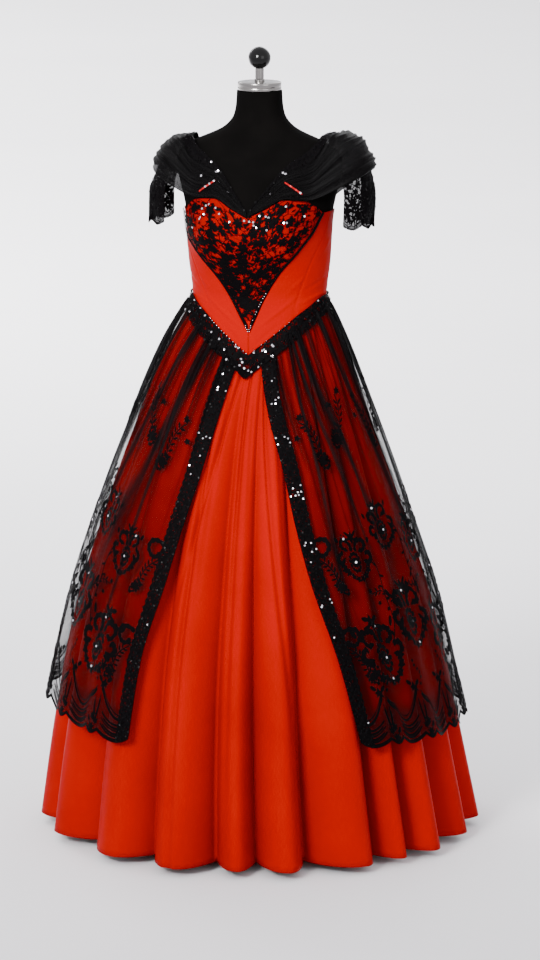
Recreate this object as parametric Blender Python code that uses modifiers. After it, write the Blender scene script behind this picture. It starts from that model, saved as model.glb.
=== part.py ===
"""Ball gown on a limbless dress form.

Metres, +Z up, the gown's front towards -Y. The origin is on the floor, under the middle of the
base plate. Left and right are as seen from the front, so left is -X. Angles round the body run
from 0 at the front, through a quarter turn at the right side, to a half turn at the back.
"""
import math
from collections import namedtuple

import bmesh
import bpy
from mathutils import Vector

SEAM_GAP = 0.0003
SIDES = ((-1, "left"), (1, "right"))
QUARTER = math.pi / 2.0

# Stand and dress form
BASE_RADIUS = 0.165
BASE_THICKNESS = 0.016
POLE_RADIUS = 0.0125
COLLAR_RADIUS = 0.024
COLLAR_LENGTH = 0.045
COLLAR_FLANGE = 0.012
COLLAR_FLANGE_HEIGHT = 0.006
COLLAR_SLOPE = 0.004
PLATE_EDGE = 0.004
CAP_EDGE = 0.0015
KNOB_RINGS = 8
FORM_BOTTOM = 0.820
NECK_TOP = 1.468
CAP_RADIUS = 0.0425
CAP_HEIGHT = 0.0165
ROD_RADIUS = 0.0085
ROD_LENGTH = 0.0255
KNOB_RADIUS = 0.0218
FORM_COLUMNS = 28

FormRow = namedtuple("FormRow", "height half_width front back")
FORM = (
    FormRow(0.820, 0.150, 0.098, 0.112),
    FormRow(0.900, 0.152, 0.102, 0.116),
    FormRow(0.980, 0.143, 0.098, 0.106),
    FormRow(1.040, 0.1315, 0.091, 0.092),
    FormRow(1.070, 0.1295, 0.089, 0.088),
    FormRow(1.100, 0.1325, 0.094, 0.089),
    FormRow(1.140, 0.1375, 0.103, 0.094),
    FormRow(1.190, 0.1405, 0.113, 0.100),
    FormRow(1.220, 0.1425, 0.113, 0.103),
    FormRow(1.260, 0.1500, 0.103, 0.104),
    FormRow(1.300, 0.1600, 0.088, 0.100),
    FormRow(1.330, 0.1640, 0.076, 0.092),
    FormRow(1.348, 0.1580, 0.067, 0.082),
    FormRow(1.360, 0.1450, 0.061, 0.074),
    FormRow(1.372, 0.1245, 0.056, 0.066),
    FormRow(1.383, 0.0980, 0.052, 0.060),
    FormRow(1.393, 0.0765, 0.049, 0.055),
    FormRow(1.404, 0.0620, 0.047, 0.051),
    FormRow(1.420, 0.0505, 0.0455, 0.048),
    FormRow(1.440, 0.0460, 0.0440, 0.046),
    FormRow(1.468, 0.0440, 0.0430, 0.044),
)
HIP_RINGS = (0.820, 0.870, 0.920, 0.965)
WAIST_RINGS_FROM = 1.000
SHOULDER_RINGS_FROM = 1.300
RING_SPACING = 0.020

# Bust fullness, on the form and so in the bodice's cut
BUST_RISE = 0.011
FORM_BUST_SHARE = 0.62
BUST_ANGLE = math.radians(34.0)
BUST_ANGLE_SPREAD = math.radians(19.0)
BUST_HEIGHT = 1.190
BUST_HEIGHT_SPREAD = 0.046

# Half gaps at the seams, as angles in radians
CENTRE_GAP = 0.0020
PANEL_GAP = 0.0040
BACK_GAP = 0.0020

# Bodice
CLOTH = 0.0015
SKIN_GAP = 0.0013
BODICE_OUT = SKIN_GAP + CLOTH
EDGE_RADIUS = 0.125
POINT_RISE = 0.22
HEART_COLUMNS = 12
HEART_CORE_SHARE = 0.25
SIDE_FRONT_COLUMNS = 9
BACK_COLUMNS = 9
HEART_RISES = (0.0, 0.15, 0.30, 0.44, 0.56, 0.67, 0.76, 0.84, 0.92, 1.0)
BACK_RISES = (0.0, 0.06, 0.14, 0.25, 0.40, 0.56, 0.72, 0.87, 1.0)
SIDE_SEAM = math.radians(90.0)
WaistRow = namedtuple("WaistRow", "angle band_top seam band_low")
WAIST = (
    WaistRow(0.0, 0.963, 0.944, 0.918),
    WaistRow(10.0, 0.983, 0.966, 0.943),
    WaistRow(27.0, 1.014, 0.995, 0.975),
    WaistRow(48.0, 1.046, 1.030, 1.010),
    WaistRow(80.0, 1.073, 1.057, 1.042),
    WaistRow(180.0, 1.075, 1.058, 1.044),
)
JOINT_FRONT = WAIST[0].seam
JOINT_SIDE = WAIST[-1].seam
HEART_POINT = 1.008
BODICE_TOP_SIDE = 1.240
BODICE_TOP_BACK = 1.225
LACE = 0.0010
LACE_LIFT = 0.0008
LACE_OUT = BODICE_OUT + LACE_LIFT + LACE
LACE_EDGE_SHARE = 0.03
PIPING_WIDTH = 0.007

HeartRow = namedtuple("HeartRow", "height left right")
HEART_EDGE = (
    HeartRow(1.008, 0.8, 0.8),
    HeartRow(1.033, 7.0, 5.5),
    HeartRow(1.065, 15.0, 11.5),
    HeartRow(1.097, 23.5, 19.0),
    HeartRow(1.127, 35.0, 28.5),
    HeartRow(1.161, 53.0, 44.0),
    HeartRow(1.196, 72.0, 58.0),
    HeartRow(1.238, 78.0, 68.0),
)
SweetRow = namedtuple("SweetRow", "angle height")
SWEETHEART = (
    SweetRow(0.0, 1.231),
    SweetRow(13.0, 1.247),
    SweetRow(27.0, 1.265),
    SweetRow(45.0, 1.262),
    SweetRow(58.0, 1.250),
    SweetRow(68.0, 1.238),
    SweetRow(78.0, 1.239),
)

# Neckline and sleeves
TULLE = 0.0012
SHOULDER_X = 0.130
SHOULDER_HALF_DEPTH = 0.030
FRONT_TURN = 0.32
NeckRow = namedtuple("NeckRow", "turn top_angle top low_angle")
NECK_FRONT = (
    NeckRow(0.00, 0.8, 1.243, 0.8),
    NeckRow(0.08, 12.0, 1.285, 13.0),
    NeckRow(0.16, 24.0, 1.328, 27.0),
    NeckRow(0.24, 40.0, 1.351, 44.0),
    NeckRow(0.32, 66.0, 1.367, 58.0),
)
NECK_BACK = (
    NeckRow(0.00, 0.8, 1.290, 0.8),
    NeckRow(0.16, 30.0, 1.318, 28.0),
    NeckRow(0.32, 66.0, 1.364, 58.0),
)
SWEET_GAP = 0.0022
CAP_SWING = math.radians(80.0)
DRAPE_END = 0.58
DRAPE_FALL = 0.14
DRAPE_FOLD = 0.004
DRAPE_FOLDS = 3
TRIM_ROWS = 3
TRIM_GAP = 0.0008
EASE_PASSES = 5
EASE_REACH = 0.10
EASE_LIFT = 0.0045
SLEEVE_ROWS = 11
SLEEVE_COLUMNS = 26
TRIM_SHARE = (TRIM_ROWS - 1) / SLEEVE_ROWS
CapRow = namedtuple("CapRow", "along left_reach left right_reach right")
CAP = (
    CapRow(0.00, 0.00, 1.379, 0.00, 1.384),
    CapRow(0.22, 0.44, 1.371, 0.50, 1.386),
    CapRow(0.42, 0.74, 1.346, 0.84, 1.358),
    CapRow(0.62, 0.90, 1.308, 1.00, 1.312),
    CapRow(0.80, 1.06, 1.267, 1.07, 1.268),
    CapRow(1.00, 1.07, 1.214, 1.03, 1.214),
)
CAP_REACH_LEFT = 0.092
CAP_REACH_RIGHT = 0.100
CAP_DEPTH = 0.078
CAP_DROP = 0.11
CAP_LACE_OVERLAP = 0.10
CAP_LACE_FRONT = math.radians(60.0)
CAP_LACE_BACK = math.radians(53.0)
CAP_LACE_INSET = 0.0079
CAP_LACE_ROWS = 6
CAP_LACE_COLUMNS = 16
CAP_HOLE_ROWS = (1, 2, 3)
CAP_SCALLOPS = 4
CAP_SCALLOP = 0.07
HOLE_SHARE = 0.62
STRIP_ENDS = ((24.0, 1.296), (44.0, 1.272))
STRIP_WIDTH = 0.006
STRIP_COLUMNS = 4
STRIP_LIFT = 0.0046
STRIP_OUT = SKIN_GAP + TULLE + STRIP_LIFT

# Skirt
SATIN = 0.0020
HEM_HEIGHT = 0.018
HEM_HALF_WIDTH = 0.403
HEM_FRONT = 0.402
HEM_BACK = 0.412
FlareRow = namedtuple("FlareRow", "drop spread fold shift")
FLARE = (
    FlareRow(0.00, 0.000, 0.0000, 0.000),
    FlareRow(0.03, 0.052, 0.0020, -0.002),
    FlareRow(0.08, 0.135, 0.0040, -0.006),
    FlareRow(0.20, 0.300, 0.0085, -0.011),
    FlareRow(0.40, 0.548, 0.0170, -0.013),
    FlareRow(0.60, 0.752, 0.0270, -0.013),
    FlareRow(0.80, 0.884, 0.0360, -0.011),
    FlareRow(1.00, 1.000, 0.0430, -0.005),
)
SKIRT_DROPS = (0.0, 0.05, 0.12, 0.24, 0.40, 0.57, 0.74, 0.88, 1.0)
FoldRow = namedtuple("FoldRow", "valley crest height")
FOLDS = (
    FoldRow(-180.0, 0.50, 0.85),
    FoldRow(-161.0, 0.45, 0.95),
    FoldRow(-143.0, 0.55, 0.80),
    FoldRow(-124.0, 0.50, 1.00),
    FoldRow(-107.0, 0.50, 1.00),
    FoldRow(-90.0, 0.45, 0.70),
    FoldRow(-68.0, 0.40, 0.45),
    FoldRow(-44.0, 0.60, 0.60),
    FoldRow(-20.0, 0.52, 0.95),
    FoldRow(0.0, 0.62, 0.70),
    FoldRow(12.0, 0.60, 1.00),
    FoldRow(26.5, 0.68, 1.00),
    FoldRow(47.5, 0.48, 0.85),
    FoldRow(58.5, 0.38, 1.00),
    FoldRow(73.5, 0.50, 0.80),
    FoldRow(92.0, 0.50, 0.90),
    FoldRow(109.0, 0.55, 0.75),
    FoldRow(128.0, 0.45, 1.00),
    FoldRow(146.0, 0.50, 0.85),
    FoldRow(163.0, 0.50, 0.95),
)
SKIRT_PANELS = (
    ("skirt_front", -44.0, 47.5),
    ("skirt_side_right", 47.5, 109.0),
    ("skirt_back_right", 109.0, 180.0),
    ("skirt_back_left", -180.0, -107.0),
    ("skirt_side_left", -107.0, -44.0),
)
SKIRT_SEAM_GAP = 0.0010
FOLD_SOFTNESS = 0.85
FOLD_RISE_CUT = 0.40
FOLD_FALL_CUT = 0.45

# Overskirt
OVER_GATHERS = 9
GATHER_STEPS = 4
OVER_DROPS = (0.0, 0.07, 0.16, 0.30, 0.46, 0.64, 0.82, 1.0)
BAND_WIDTH = 0.030
NEAR_RADIUS = 0.17
FAR_RADIUS = 0.42
OverRow = namedtuple("OverRow", "drop left_edge right_edge gather gap")
OVER_EDGE = (
    OverRow(0.00, 6.5, 9.5, 0.0006, 0.0016),
    OverRow(0.17, 10.0, 17.5, 0.0020, 0.0030),
    OverRow(0.32, 13.1, 24.2, 0.0035, 0.0045),
    OverRow(0.46, 16.4, 27.8, 0.0050, 0.0055),
    OverRow(0.60, 19.0, 31.5, 0.0065, 0.0060),
    OverRow(0.80, 23.0, 38.0, 0.0090, 0.0060),
    OverRow(1.00, 24.0, 42.4, 0.0110, 0.0060),
)
HemRow = namedtuple("HemRow", "angle left right")
OVER_HEM = (
    HemRow(0.0, 0.250, 0.255),
    HemRow(24.0, 0.252, 0.254),
    HemRow(45.0, 0.265, 0.251),
    HemRow(75.0, 0.280, 0.241),
    HemRow(110.0, 0.282, 0.242),
    HemRow(180.0, 0.262, 0.262),
)
SCALLOP_DEPTH = 0.014
SCALLOPS_PER_SIDE = 10
BAND_OUT = LACE + 0.0004

# Waist band
WAIST_BAND_OUT = OVER_EDGE[0].gap + TULLE + 0.0030
WAIST_BAND_STEPS = 24
WAIST_BAND_FLARE = 0.001
WAIST_BEND_RISE = 0.003


def read(table, place, column):
    """Value of a column at a place along the table's first column, on a curve with no overshoot."""
    keys = [row[0] for row in table]
    values = [getattr(row, column) for row in table]
    place = min(max(place, keys[0]), keys[-1])
    steps = [b - a for a, b in zip(keys, keys[1:])]
    rates = [(b - a) / step for a, b, step in zip(values, values[1:], steps)]
    slopes = [rates[0]]
    for before, after in zip(rates, rates[1:]):
        same_way = before * after > 0.0
        slopes.append(2.0 * before * after / (before + after) if same_way else 0.0)
    slopes.append(rates[-1])
    i = 0
    while i < len(steps) - 1 and place > keys[i + 1]:
        i += 1
    t = (place - keys[i]) / steps[i]
    rise = values[i + 1] - values[i]
    ease = t * t * (3.0 - 2.0 * t)
    start = steps[i] * slopes[i] * t * (1.0 - t) ** 2
    end = steps[i] * slopes[i + 1] * t * t * (1.0 - t)
    return values[i] + rise * ease + start - end


def mix(a, b, share):
    """The value, or point, at a share of the way from a to b."""
    return a * (1.0 - share) + b * share


def skin(angle, height, fullness=1.0):
    """Point on the surface that the bodice is cut to; the dress form has less fullness."""
    half_width = read(FORM, height, "half_width")
    forward = math.cos(angle)
    depth = read(FORM, height, "front" if forward > 0.0 else "back")
    across = (abs(angle) - BUST_ANGLE) / BUST_ANGLE_SPREAD
    up = (height - BUST_HEIGHT) / BUST_HEIGHT_SPREAD
    bust = fullness * BUST_RISE * math.exp(-across * across - up * up)
    return Vector((half_width * math.sin(angle), -depth * forward - bust, height))


def torso(angle, height, out):
    """Point moved out from the dress form's skin, square to it."""
    step = 0.0005
    across = skin(angle + step, height) - skin(angle - step, height)
    up = skin(angle, height + step) - skin(angle, height - step)
    return skin(angle, height) + across.cross(up).normalized() * out


def joint_height(angle):
    """Height of the seam between bodice and skirt, a V at the front."""
    return read(WAIST, abs(math.degrees(angle)), "seam")


def fold_height(angle):
    """Height of the skirt's folds at an angle, from -1 in a valley to about 1 on a crest."""
    degrees = math.degrees(angle)
    for i, fold in enumerate(FOLDS):
        end = FOLDS[i + 1].valley if i + 1 < len(FOLDS) else 180.0
        if fold.valley <= degrees <= end:
            t = (degrees - fold.valley) / (end - fold.valley)
            side = t / fold.crest if t < fold.crest else (1.0 - t) / (1.0 - fold.crest)
            return -1.0 + (1.0 + fold.height) * math.sin(side * QUARTER) ** FOLD_SOFTNESS
    return -1.0


def skirt_shape(angle, drop):
    """Middle surface of the skirt, before its folds; drop is 0 at the waist seam, 1 at the hem."""
    top = torso(angle, joint_height(angle), BODICE_OUT)
    depth = HEM_FRONT if math.cos(angle) > 0.0 else HEM_BACK
    hem = Vector((HEM_HALF_WIDTH * math.sin(angle), -depth * math.cos(angle), HEM_HEIGHT))
    spread = read(FLARE, drop, "spread")
    point = mix(top, hem, spread)
    point.z = mix(top.z, hem.z, drop)
    point.x += read(FLARE, drop, "shift")
    return point


def outward(angle):
    """Level direction away from the body's axis."""
    return Vector((math.sin(angle), -math.cos(angle), 0.0))


def skirt_point(angle, drop, out=0.0):
    """Point on the skirt's outer side, with its folds."""
    fold = read(FLARE, drop, "fold") * fold_height(angle)
    return skirt_shape(angle, drop) + outward(angle) * (fold + out)


def drape_point(angle, height, out):
    """Point on a cloth that spans the skirt's crests."""
    seam = joint_height(angle)
    drop = (seam - height) / (seam - HEM_HEIGHT)
    return skirt_shape(angle, drop) + outward(angle) * (read(FLARE, drop, "fold") + out)


def edge_angle(side, drop):
    """Angle of the overskirt's front edge on one side, counted positive on both sides."""
    column = "right_edge" if side > 0 else "left_edge"
    return math.radians(read(OVER_EDGE, drop, column))


def band_share(side, drop):
    """Share of the overskirt's width that its edge band takes up."""
    reach = mix(NEAR_RADIUS, FAR_RADIUS, drop)
    return BAND_WIDTH / reach / (math.pi - edge_angle(side, drop))


def over_hem(side, angle, share):
    """Height of the overskirt's scalloped hem."""
    column = "right" if side > 0 else "left"
    wave = abs(math.sin(math.pi * SCALLOPS_PER_SIDE * share))
    return read(OVER_HEM, math.degrees(angle), column) - SCALLOP_DEPTH * wave


def over_point(side, share, drop, out=0.0):
    """Point on the overskirt; share is 0 at the front edge and 1 at the centre back."""
    back = math.pi - BACK_GAP
    angle = mix(edge_angle(side, drop), back, share)
    height = mix(joint_height(angle), over_hem(side, angle, share), drop)
    band = band_share(side, drop)
    beyond = max(share - band, 0.0) / (1.0 - band)
    gather = read(OVER_EDGE, drop, "gather") * math.sin(math.pi * OVER_GATHERS * beyond) ** 2
    gap = read(OVER_EDGE, drop, "gap")
    return drape_point(side * angle, height, gap + TULLE + gather + out)


def heart_edge(side, rise):
    """Height and angle of the heart panel's side edge; rise is 0 at the point, 1 at the corner."""
    height = mix(HEART_POINT, HEART_EDGE[-1].height, rise)
    return height, math.radians(read(HEART_EDGE, height, "right" if side > 0 else "left"))


def heart_place(across, rise):
    """Angle and height on the heart panel; across runs from -1 to 1 between its side edges."""
    height, edge = heart_edge(across, rise)
    angle = across * edge
    top = read(SWEETHEART, abs(math.degrees(angle)), "height")
    return angle, height + (top - HEART_EDGE[-1].height) * rise ** 3


def heart_point(across, rise, out):
    """Point on the heart panel."""
    angle, height = heart_place(across, rise)
    return torso(angle, height, out)


def side_front_point(side, across, rise, out):
    """Point on a side front; across is 0 at the heart's edge and 1 at the side seam."""
    if rise < POINT_RISE:
        height = mix(JOINT_FRONT, HEART_POINT, rise / POINT_RISE)
        inner = CENTRE_GAP
    else:
        inner, height = heart_place(side, (rise - POINT_RISE) / (1.0 - POINT_RISE))
        inner = abs(inner) + PANEL_GAP
    outer_height = mix(JOINT_SIDE, BODICE_TOP_SIDE, rise)
    angle = mix(inner, SIDE_SEAM - PANEL_GAP, across)
    straight = mix(JOINT_FRONT, JOINT_SIDE, across)
    below = mix(CENTRE_GAP, SIDE_SEAM - PANEL_GAP, across)
    curve = (joint_height(below) - straight) * (1.0 - rise) ** 3
    return torso(side * angle, mix(height, outer_height, across) + curve, out)


def back_point(side, across, rise, out):
    """Point on a bodice back; across is 0 at the side seam and 1 at the centre back."""
    angle = mix(SIDE_SEAM + PANEL_GAP, math.pi - CENTRE_GAP, across)
    top = mix(BODICE_TOP_SIDE, BODICE_TOP_BACK, across)
    return torso(side * angle, mix(joint_height(angle), top, rise), out)


def cap_point(side, swing, along):
    """Point on the sleeve cap; swing is 0 at the outer side, negative in front of the arm."""
    column = "right" if side > 0 else "left"
    share = read(CAP, along, column + "_reach")
    reach = CAP_REACH_RIGHT if side > 0 else CAP_REACH_LEFT
    depth = mix(SHOULDER_HALF_DEPTH, CAP_DEPTH, share)
    x = SHOULDER_X + reach * share * math.cos(swing)
    return Vector((side * x, depth * math.sin(swing), read(CAP, along, column)))


def drape_end(swing):
    """How far along the sleeve cap the draped tulle reaches."""
    return DRAPE_END + DRAPE_FALL * math.sin(swing) ** 2


def sleeve_column(side, turn, rises):
    """One column of the draped sleeve; turn runs from 0 at the centre front to 1 at the back."""
    out = SKIN_GAP + TULLE
    if turn <= FRONT_TURN or turn >= 1.0 - FRONT_TURN:
        table = NECK_FRONT if turn <= FRONT_TURN else NECK_BACK
        place = turn if turn <= FRONT_TURN else 1.0 - turn
        top_angle = math.radians(read(table, place, "top_angle"))
        low_angle = math.radians(read(table, place, "low_angle"))
        top = read(table, place, "top")
        if table is NECK_FRONT:
            low = read(SWEETHEART, math.degrees(low_angle), "height") + SWEET_GAP
        else:
            low = mix(BODICE_TOP_BACK, BODICE_TOP_SIDE, low_angle / QUARTER) + SWEET_GAP
        points = []
        for rise in rises:
            angle = mix(low_angle, top_angle, rise)
            if table is NECK_BACK:
                angle = math.pi - angle
            points.append(torso(side * angle, mix(low, top, rise), out))
        return points
    swing = mix(-CAP_SWING, CAP_SWING, (turn - FRONT_TURN) / (1.0 - 2.0 * FRONT_TURN))
    return [cap_point(side, swing, drape_end(swing) * (1.0 - rise)) for rise in rises]


def ease_weight(turn):
    """Weight of the easing, 1 where the sleeve leaves the body and 0 away from there."""
    near = min(abs(turn - FRONT_TURN), abs(turn - 1.0 + FRONT_TURN))
    return max(1.0 - near / EASE_REACH, 0.0)


def eased(columns, turns):
    """Columns of points, eased into each other where the sleeve leaves the body."""
    for _ in range(EASE_PASSES):
        before = columns
        columns = [list(before[0])]
        for j in range(1, len(before) - 1):
            weight = 0.5 * ease_weight(turns[j])
            around = [mix(a, b, 0.5) for a, b in zip(before[j - 1], before[j + 1])]
            columns.append([mix(a, b, weight) for a, b in zip(before[j], around)])
        columns.append(list(before[-1]))
    return columns


def moved_out(rows, distance):
    """The same rows of points, each moved along the surface's normal."""
    moved = []
    for i, row in enumerate(rows):
        below = rows[max(i - 1, 0)]
        above = rows[min(i + 1, len(rows) - 1)]
        line = []
        for j, point in enumerate(row):
            across = row[min(j + 1, len(row) - 1)] - row[max(j - 1, 0)]
            normal = across.cross(above[j] - below[j]).normalized()
            line.append(point + normal * distance(i, j))
        moved.append(line)
    return moved


def sleeve_rows(side):
    """Rows of the draped sleeve's outer side, lowest row first, with its soft folds."""
    rises = [i / SLEEVE_ROWS for i in range(SLEEVE_ROWS + 1)]
    turns = [i / SLEEVE_COLUMNS for i in range(SLEEVE_COLUMNS + 1)]
    columns = eased([sleeve_column(side, turn, rises) for turn in turns], turns)
    rows = [[column[i] for column in columns] for i in range(len(rises))]
    if side < 0:
        rows = [list(reversed(row)) for row in rows]

    def fold(i, j):
        spread = math.sin(math.pi * turns[j])
        below_trim = min(rises[i] / (1.0 - TRIM_SHARE), 1.0)
        wave = math.sin(math.pi * DRAPE_FOLDS * below_trim) ** 2
        return DRAPE_FOLD * spread * wave + EASE_LIFT * ease_weight(turns[j])

    return moved_out(rows, fold)


def material(name, colour, roughness, metallic=0.0):
    """Principled material with one colour."""
    finish = bpy.data.materials.new(name)
    finish.use_nodes = True
    shader = finish.node_tree.nodes["Principled BSDF"]
    shader.inputs["Base Color"].default_value = (*colour, 1.0)
    shader.inputs["Roughness"].default_value = roughness
    shader.inputs["Metallic"].default_value = metallic
    return finish


def add_object(name, mesh, finish, collection):
    """New object for a mesh, with its own copy of a material."""
    item = bpy.data.objects.new(name, mesh)
    own = finish.copy()
    own.name = name + "_finish"
    mesh.materials.append(own)
    collection.objects.link(item)
    return item


def cell_faces(mesh, corners, share):
    """Faces of one cell: a quad, or a frame of four quads round a hole of the given share."""
    if not share:
        mesh.faces.new(corners)
        return
    centre = sum((corner.co for corner in corners), Vector()) / len(corners)
    inner = [mesh.verts.new(mix(centre, corner.co, share)) for corner in corners]
    for k in range(len(corners)):
        after = (k + 1) % len(corners)
        mesh.faces.new((corners[k], corners[after], inner[after], inner[k]))


def shell(name, finish, rows, thickness, collection, hole_share=None):
    """Wall of one thickness whose outer side has the given rows of points, lowest row first."""
    sheet = bmesh.new()
    grid = [[sheet.verts.new(point) for point in row] for row in rows]
    for i in range(len(grid) - 1):
        for j in range(len(grid[i]) - 1):
            corners = (grid[i][j], grid[i][j + 1], grid[i + 1][j + 1], grid[i + 1][j])
            cell_faces(sheet, corners, hole_share(i, j) if hole_share else None)
    mesh = bpy.data.meshes.new(name)
    sheet.to_mesh(mesh)
    sheet.free()
    mesh.shade_smooth()
    item = add_object(name, mesh, finish, collection)
    wall = item.modifiers.new("Wall", "SOLIDIFY")
    wall.thickness = thickness
    wall.offset = -1.0
    return item


def turned(name, finish, profile, collection, steps=32):
    """Solid turned round the Z axis from a profile of (radius, height), top to bottom."""
    mesh = bpy.data.meshes.new(name)
    points = [(radius, 0.0, height) for radius, height in profile]
    mesh.from_pydata(points, [(i, i + 1) for i in range(len(points) - 1)], [])
    item = add_object(name, mesh, finish, collection)
    turn = item.modifiers.new("Turn", "SCREW")
    turn.steps = steps
    turn.render_steps = steps
    turn.use_merge_vertices = True
    turn.merge_threshold = 0.0001
    turn.use_smooth_shade = True
    return item


def make_stand(finishes, collection):
    """Base plate, pole and collar."""
    plate = (
        (0.0, BASE_THICKNESS),
        (BASE_RADIUS - PLATE_EDGE, BASE_THICKNESS),
        (BASE_RADIUS, BASE_THICKNESS - PLATE_EDGE),
        (BASE_RADIUS, 0.0),
        (0.0, 0.0),
    )
    turned("base_plate", finishes["metal"], plate, collection, steps=36)
    pole_top = FORM_BOTTOM - COLLAR_LENGTH - SEAM_GAP
    pole = (
        (0.0, pole_top - SEAM_GAP),
        (POLE_RADIUS, pole_top - SEAM_GAP),
        (POLE_RADIUS, BASE_THICKNESS + SEAM_GAP),
        (0.0, BASE_THICKNESS + SEAM_GAP),
    )
    turned("pole", finishes["metal"], pole, collection, steps=20)
    collar_top = FORM_BOTTOM - SEAM_GAP
    flange_bottom = collar_top - COLLAR_FLANGE_HEIGHT
    collar = (
        (0.0, collar_top),
        (COLLAR_RADIUS + COLLAR_FLANGE, collar_top),
        (COLLAR_RADIUS + COLLAR_FLANGE, flange_bottom),
        (COLLAR_RADIUS, flange_bottom - COLLAR_SLOPE),
        (COLLAR_RADIUS, pole_top),
        (0.0, pole_top),
    )
    turned("pole_collar", finishes["metal"], collar, collection, steps=24)


def make_form(finishes, collection):
    """Torso, neck cap, rod and knob."""
    between = round((SHOULDER_RINGS_FROM - WAIST_RINGS_FROM) / RING_SPACING)
    heights = list(HIP_RINGS)
    heights += [WAIST_RINGS_FROM + RING_SPACING * i for i in range(between)]
    heights += [row.height for row in FORM if row.height >= SHOULDER_RINGS_FROM]
    angles = [math.tau * j / FORM_COLUMNS for j in range(FORM_COLUMNS)]
    angles = [angle - math.tau if angle > math.pi else angle for angle in angles]
    body = bmesh.new()
    rings = []
    for height in heights:
        rings.append([body.verts.new(skin(a, height, FORM_BUST_SHARE)) for a in angles])
    for lower, upper in zip(rings, rings[1:]):
        for j in range(FORM_COLUMNS):
            after = (j + 1) % FORM_COLUMNS
            body.faces.new((lower[j], lower[after], upper[after], upper[j]))
    body.faces.new(list(reversed(rings[0])))
    body.faces.new(rings[-1])
    mesh = bpy.data.meshes.new("form_body")
    body.to_mesh(mesh)
    body.free()
    mesh.shade_smooth()
    add_object("form_body", mesh, finishes["jersey"], collection)

    cap_bottom = NECK_TOP + SEAM_GAP
    cap_top = cap_bottom + CAP_HEIGHT
    cap = (
        (0.0, cap_top),
        (CAP_RADIUS - CAP_EDGE, cap_top),
        (CAP_RADIUS, cap_top - CAP_EDGE),
        (CAP_RADIUS, cap_bottom + CAP_EDGE),
        (CAP_RADIUS - CAP_EDGE, cap_bottom),
        (0.0, cap_bottom),
    )
    turned("neck_cap", finishes["chrome"], cap, collection, steps=28)
    rod_bottom = cap_top + SEAM_GAP
    rod_top = rod_bottom + ROD_LENGTH
    rod = ((0.0, rod_top), (ROD_RADIUS, rod_top), (ROD_RADIUS, rod_bottom), (0.0, rod_bottom))
    turned("knob_rod", finishes["chrome"], rod, collection, steps=20)
    flat = math.asin(ROD_RADIUS / KNOB_RADIUS)
    centre = rod_top + SEAM_GAP + KNOB_RADIUS * math.cos(flat)
    knob = []
    for share in shares(KNOB_RINGS):
        polar = mix(0.0, math.pi - flat, share)
        knob.append((KNOB_RADIUS * math.sin(polar), centre + KNOB_RADIUS * math.cos(polar)))
    knob.append((0.0, knob[-1][1]))
    turned("knob", finishes["knob"], knob, collection, steps=18)


def shares(count):
    """Evenly spaced shares from 0 to 1."""
    return [i / count for i in range(count + 1)]


def sided(side, rows):
    """Rows with their points in order of angle, also on the left side."""
    return rows if side > 0 else [list(reversed(row)) for row in rows]


def make_bodice(finishes, collection):
    """Heart panel with its lace and piping, side fronts and backs."""
    red = finishes["satin"]
    black = finishes["lace"]
    rises = HEART_RISES
    top_row = len(HEART_RISES) - 3

    def inside(side, rise):
        edge = heart_edge(side, rise)[1]
        return max(1.0 - PIPING_WIDTH / (EDGE_RADIUS * edge), HEART_CORE_SHARE)

    def spans(rise):
        left, right = inside(-1, rise), inside(1, rise)
        return [-1.0] + [mix(-left, right, share) for share in shares(HEART_COLUMNS)] + [1.0]

    rows = [[heart_point(a, rise, BODICE_OUT) for a in spans(rise)] for rise in rises]
    shell("heart_panel", red, rows, CLOTH, collection)

    def heart_hole(i, j):
        in_body = 1 <= i < top_row and 1 <= j < HEART_COLUMNS - 1
        return HOLE_SHARE if in_body and (i + j) % 2 == 0 else None

    rows = []
    for rise in rises[1:]:
        line = [heart_point(a, rise, LACE_OUT) for a in spans(rise)[1:-1]]
        line[0] = mix(line[0], line[1], LACE_EDGE_SHARE)
        line[-1] = mix(line[-1], line[-2], LACE_EDGE_SHARE)
        rows.append(line)
    shell("heart_lace", black, rows, LACE, collection, heart_hole)
    for side, word in SIDES:
        rows = []
        for rise in rises:
            pair = (inside(side, rise), 1.0)
            rows.append([heart_point(side * a, rise, LACE_OUT) for a in pair])
        shell("heart_piping_" + word, black, sided(side, rows), LACE, collection)
        rows = []
        for rise in [0.0, POINT_RISE / 2.0] + [mix(POINT_RISE, 1.0, r) for r in rises]:
            across = shares(SIDE_FRONT_COLUMNS)
            rows.append([side_front_point(side, a, rise, BODICE_OUT) for a in across])
        shell("side_front_" + word, red, sided(side, rows), CLOTH, collection)
        rows = []
        for rise in BACK_RISES:
            across = shares(BACK_COLUMNS)
            rows.append([back_point(side, a, rise, BODICE_OUT) for a in across])
        shell("back_" + word, red, sided(side, rows), CLOTH, collection)


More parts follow.
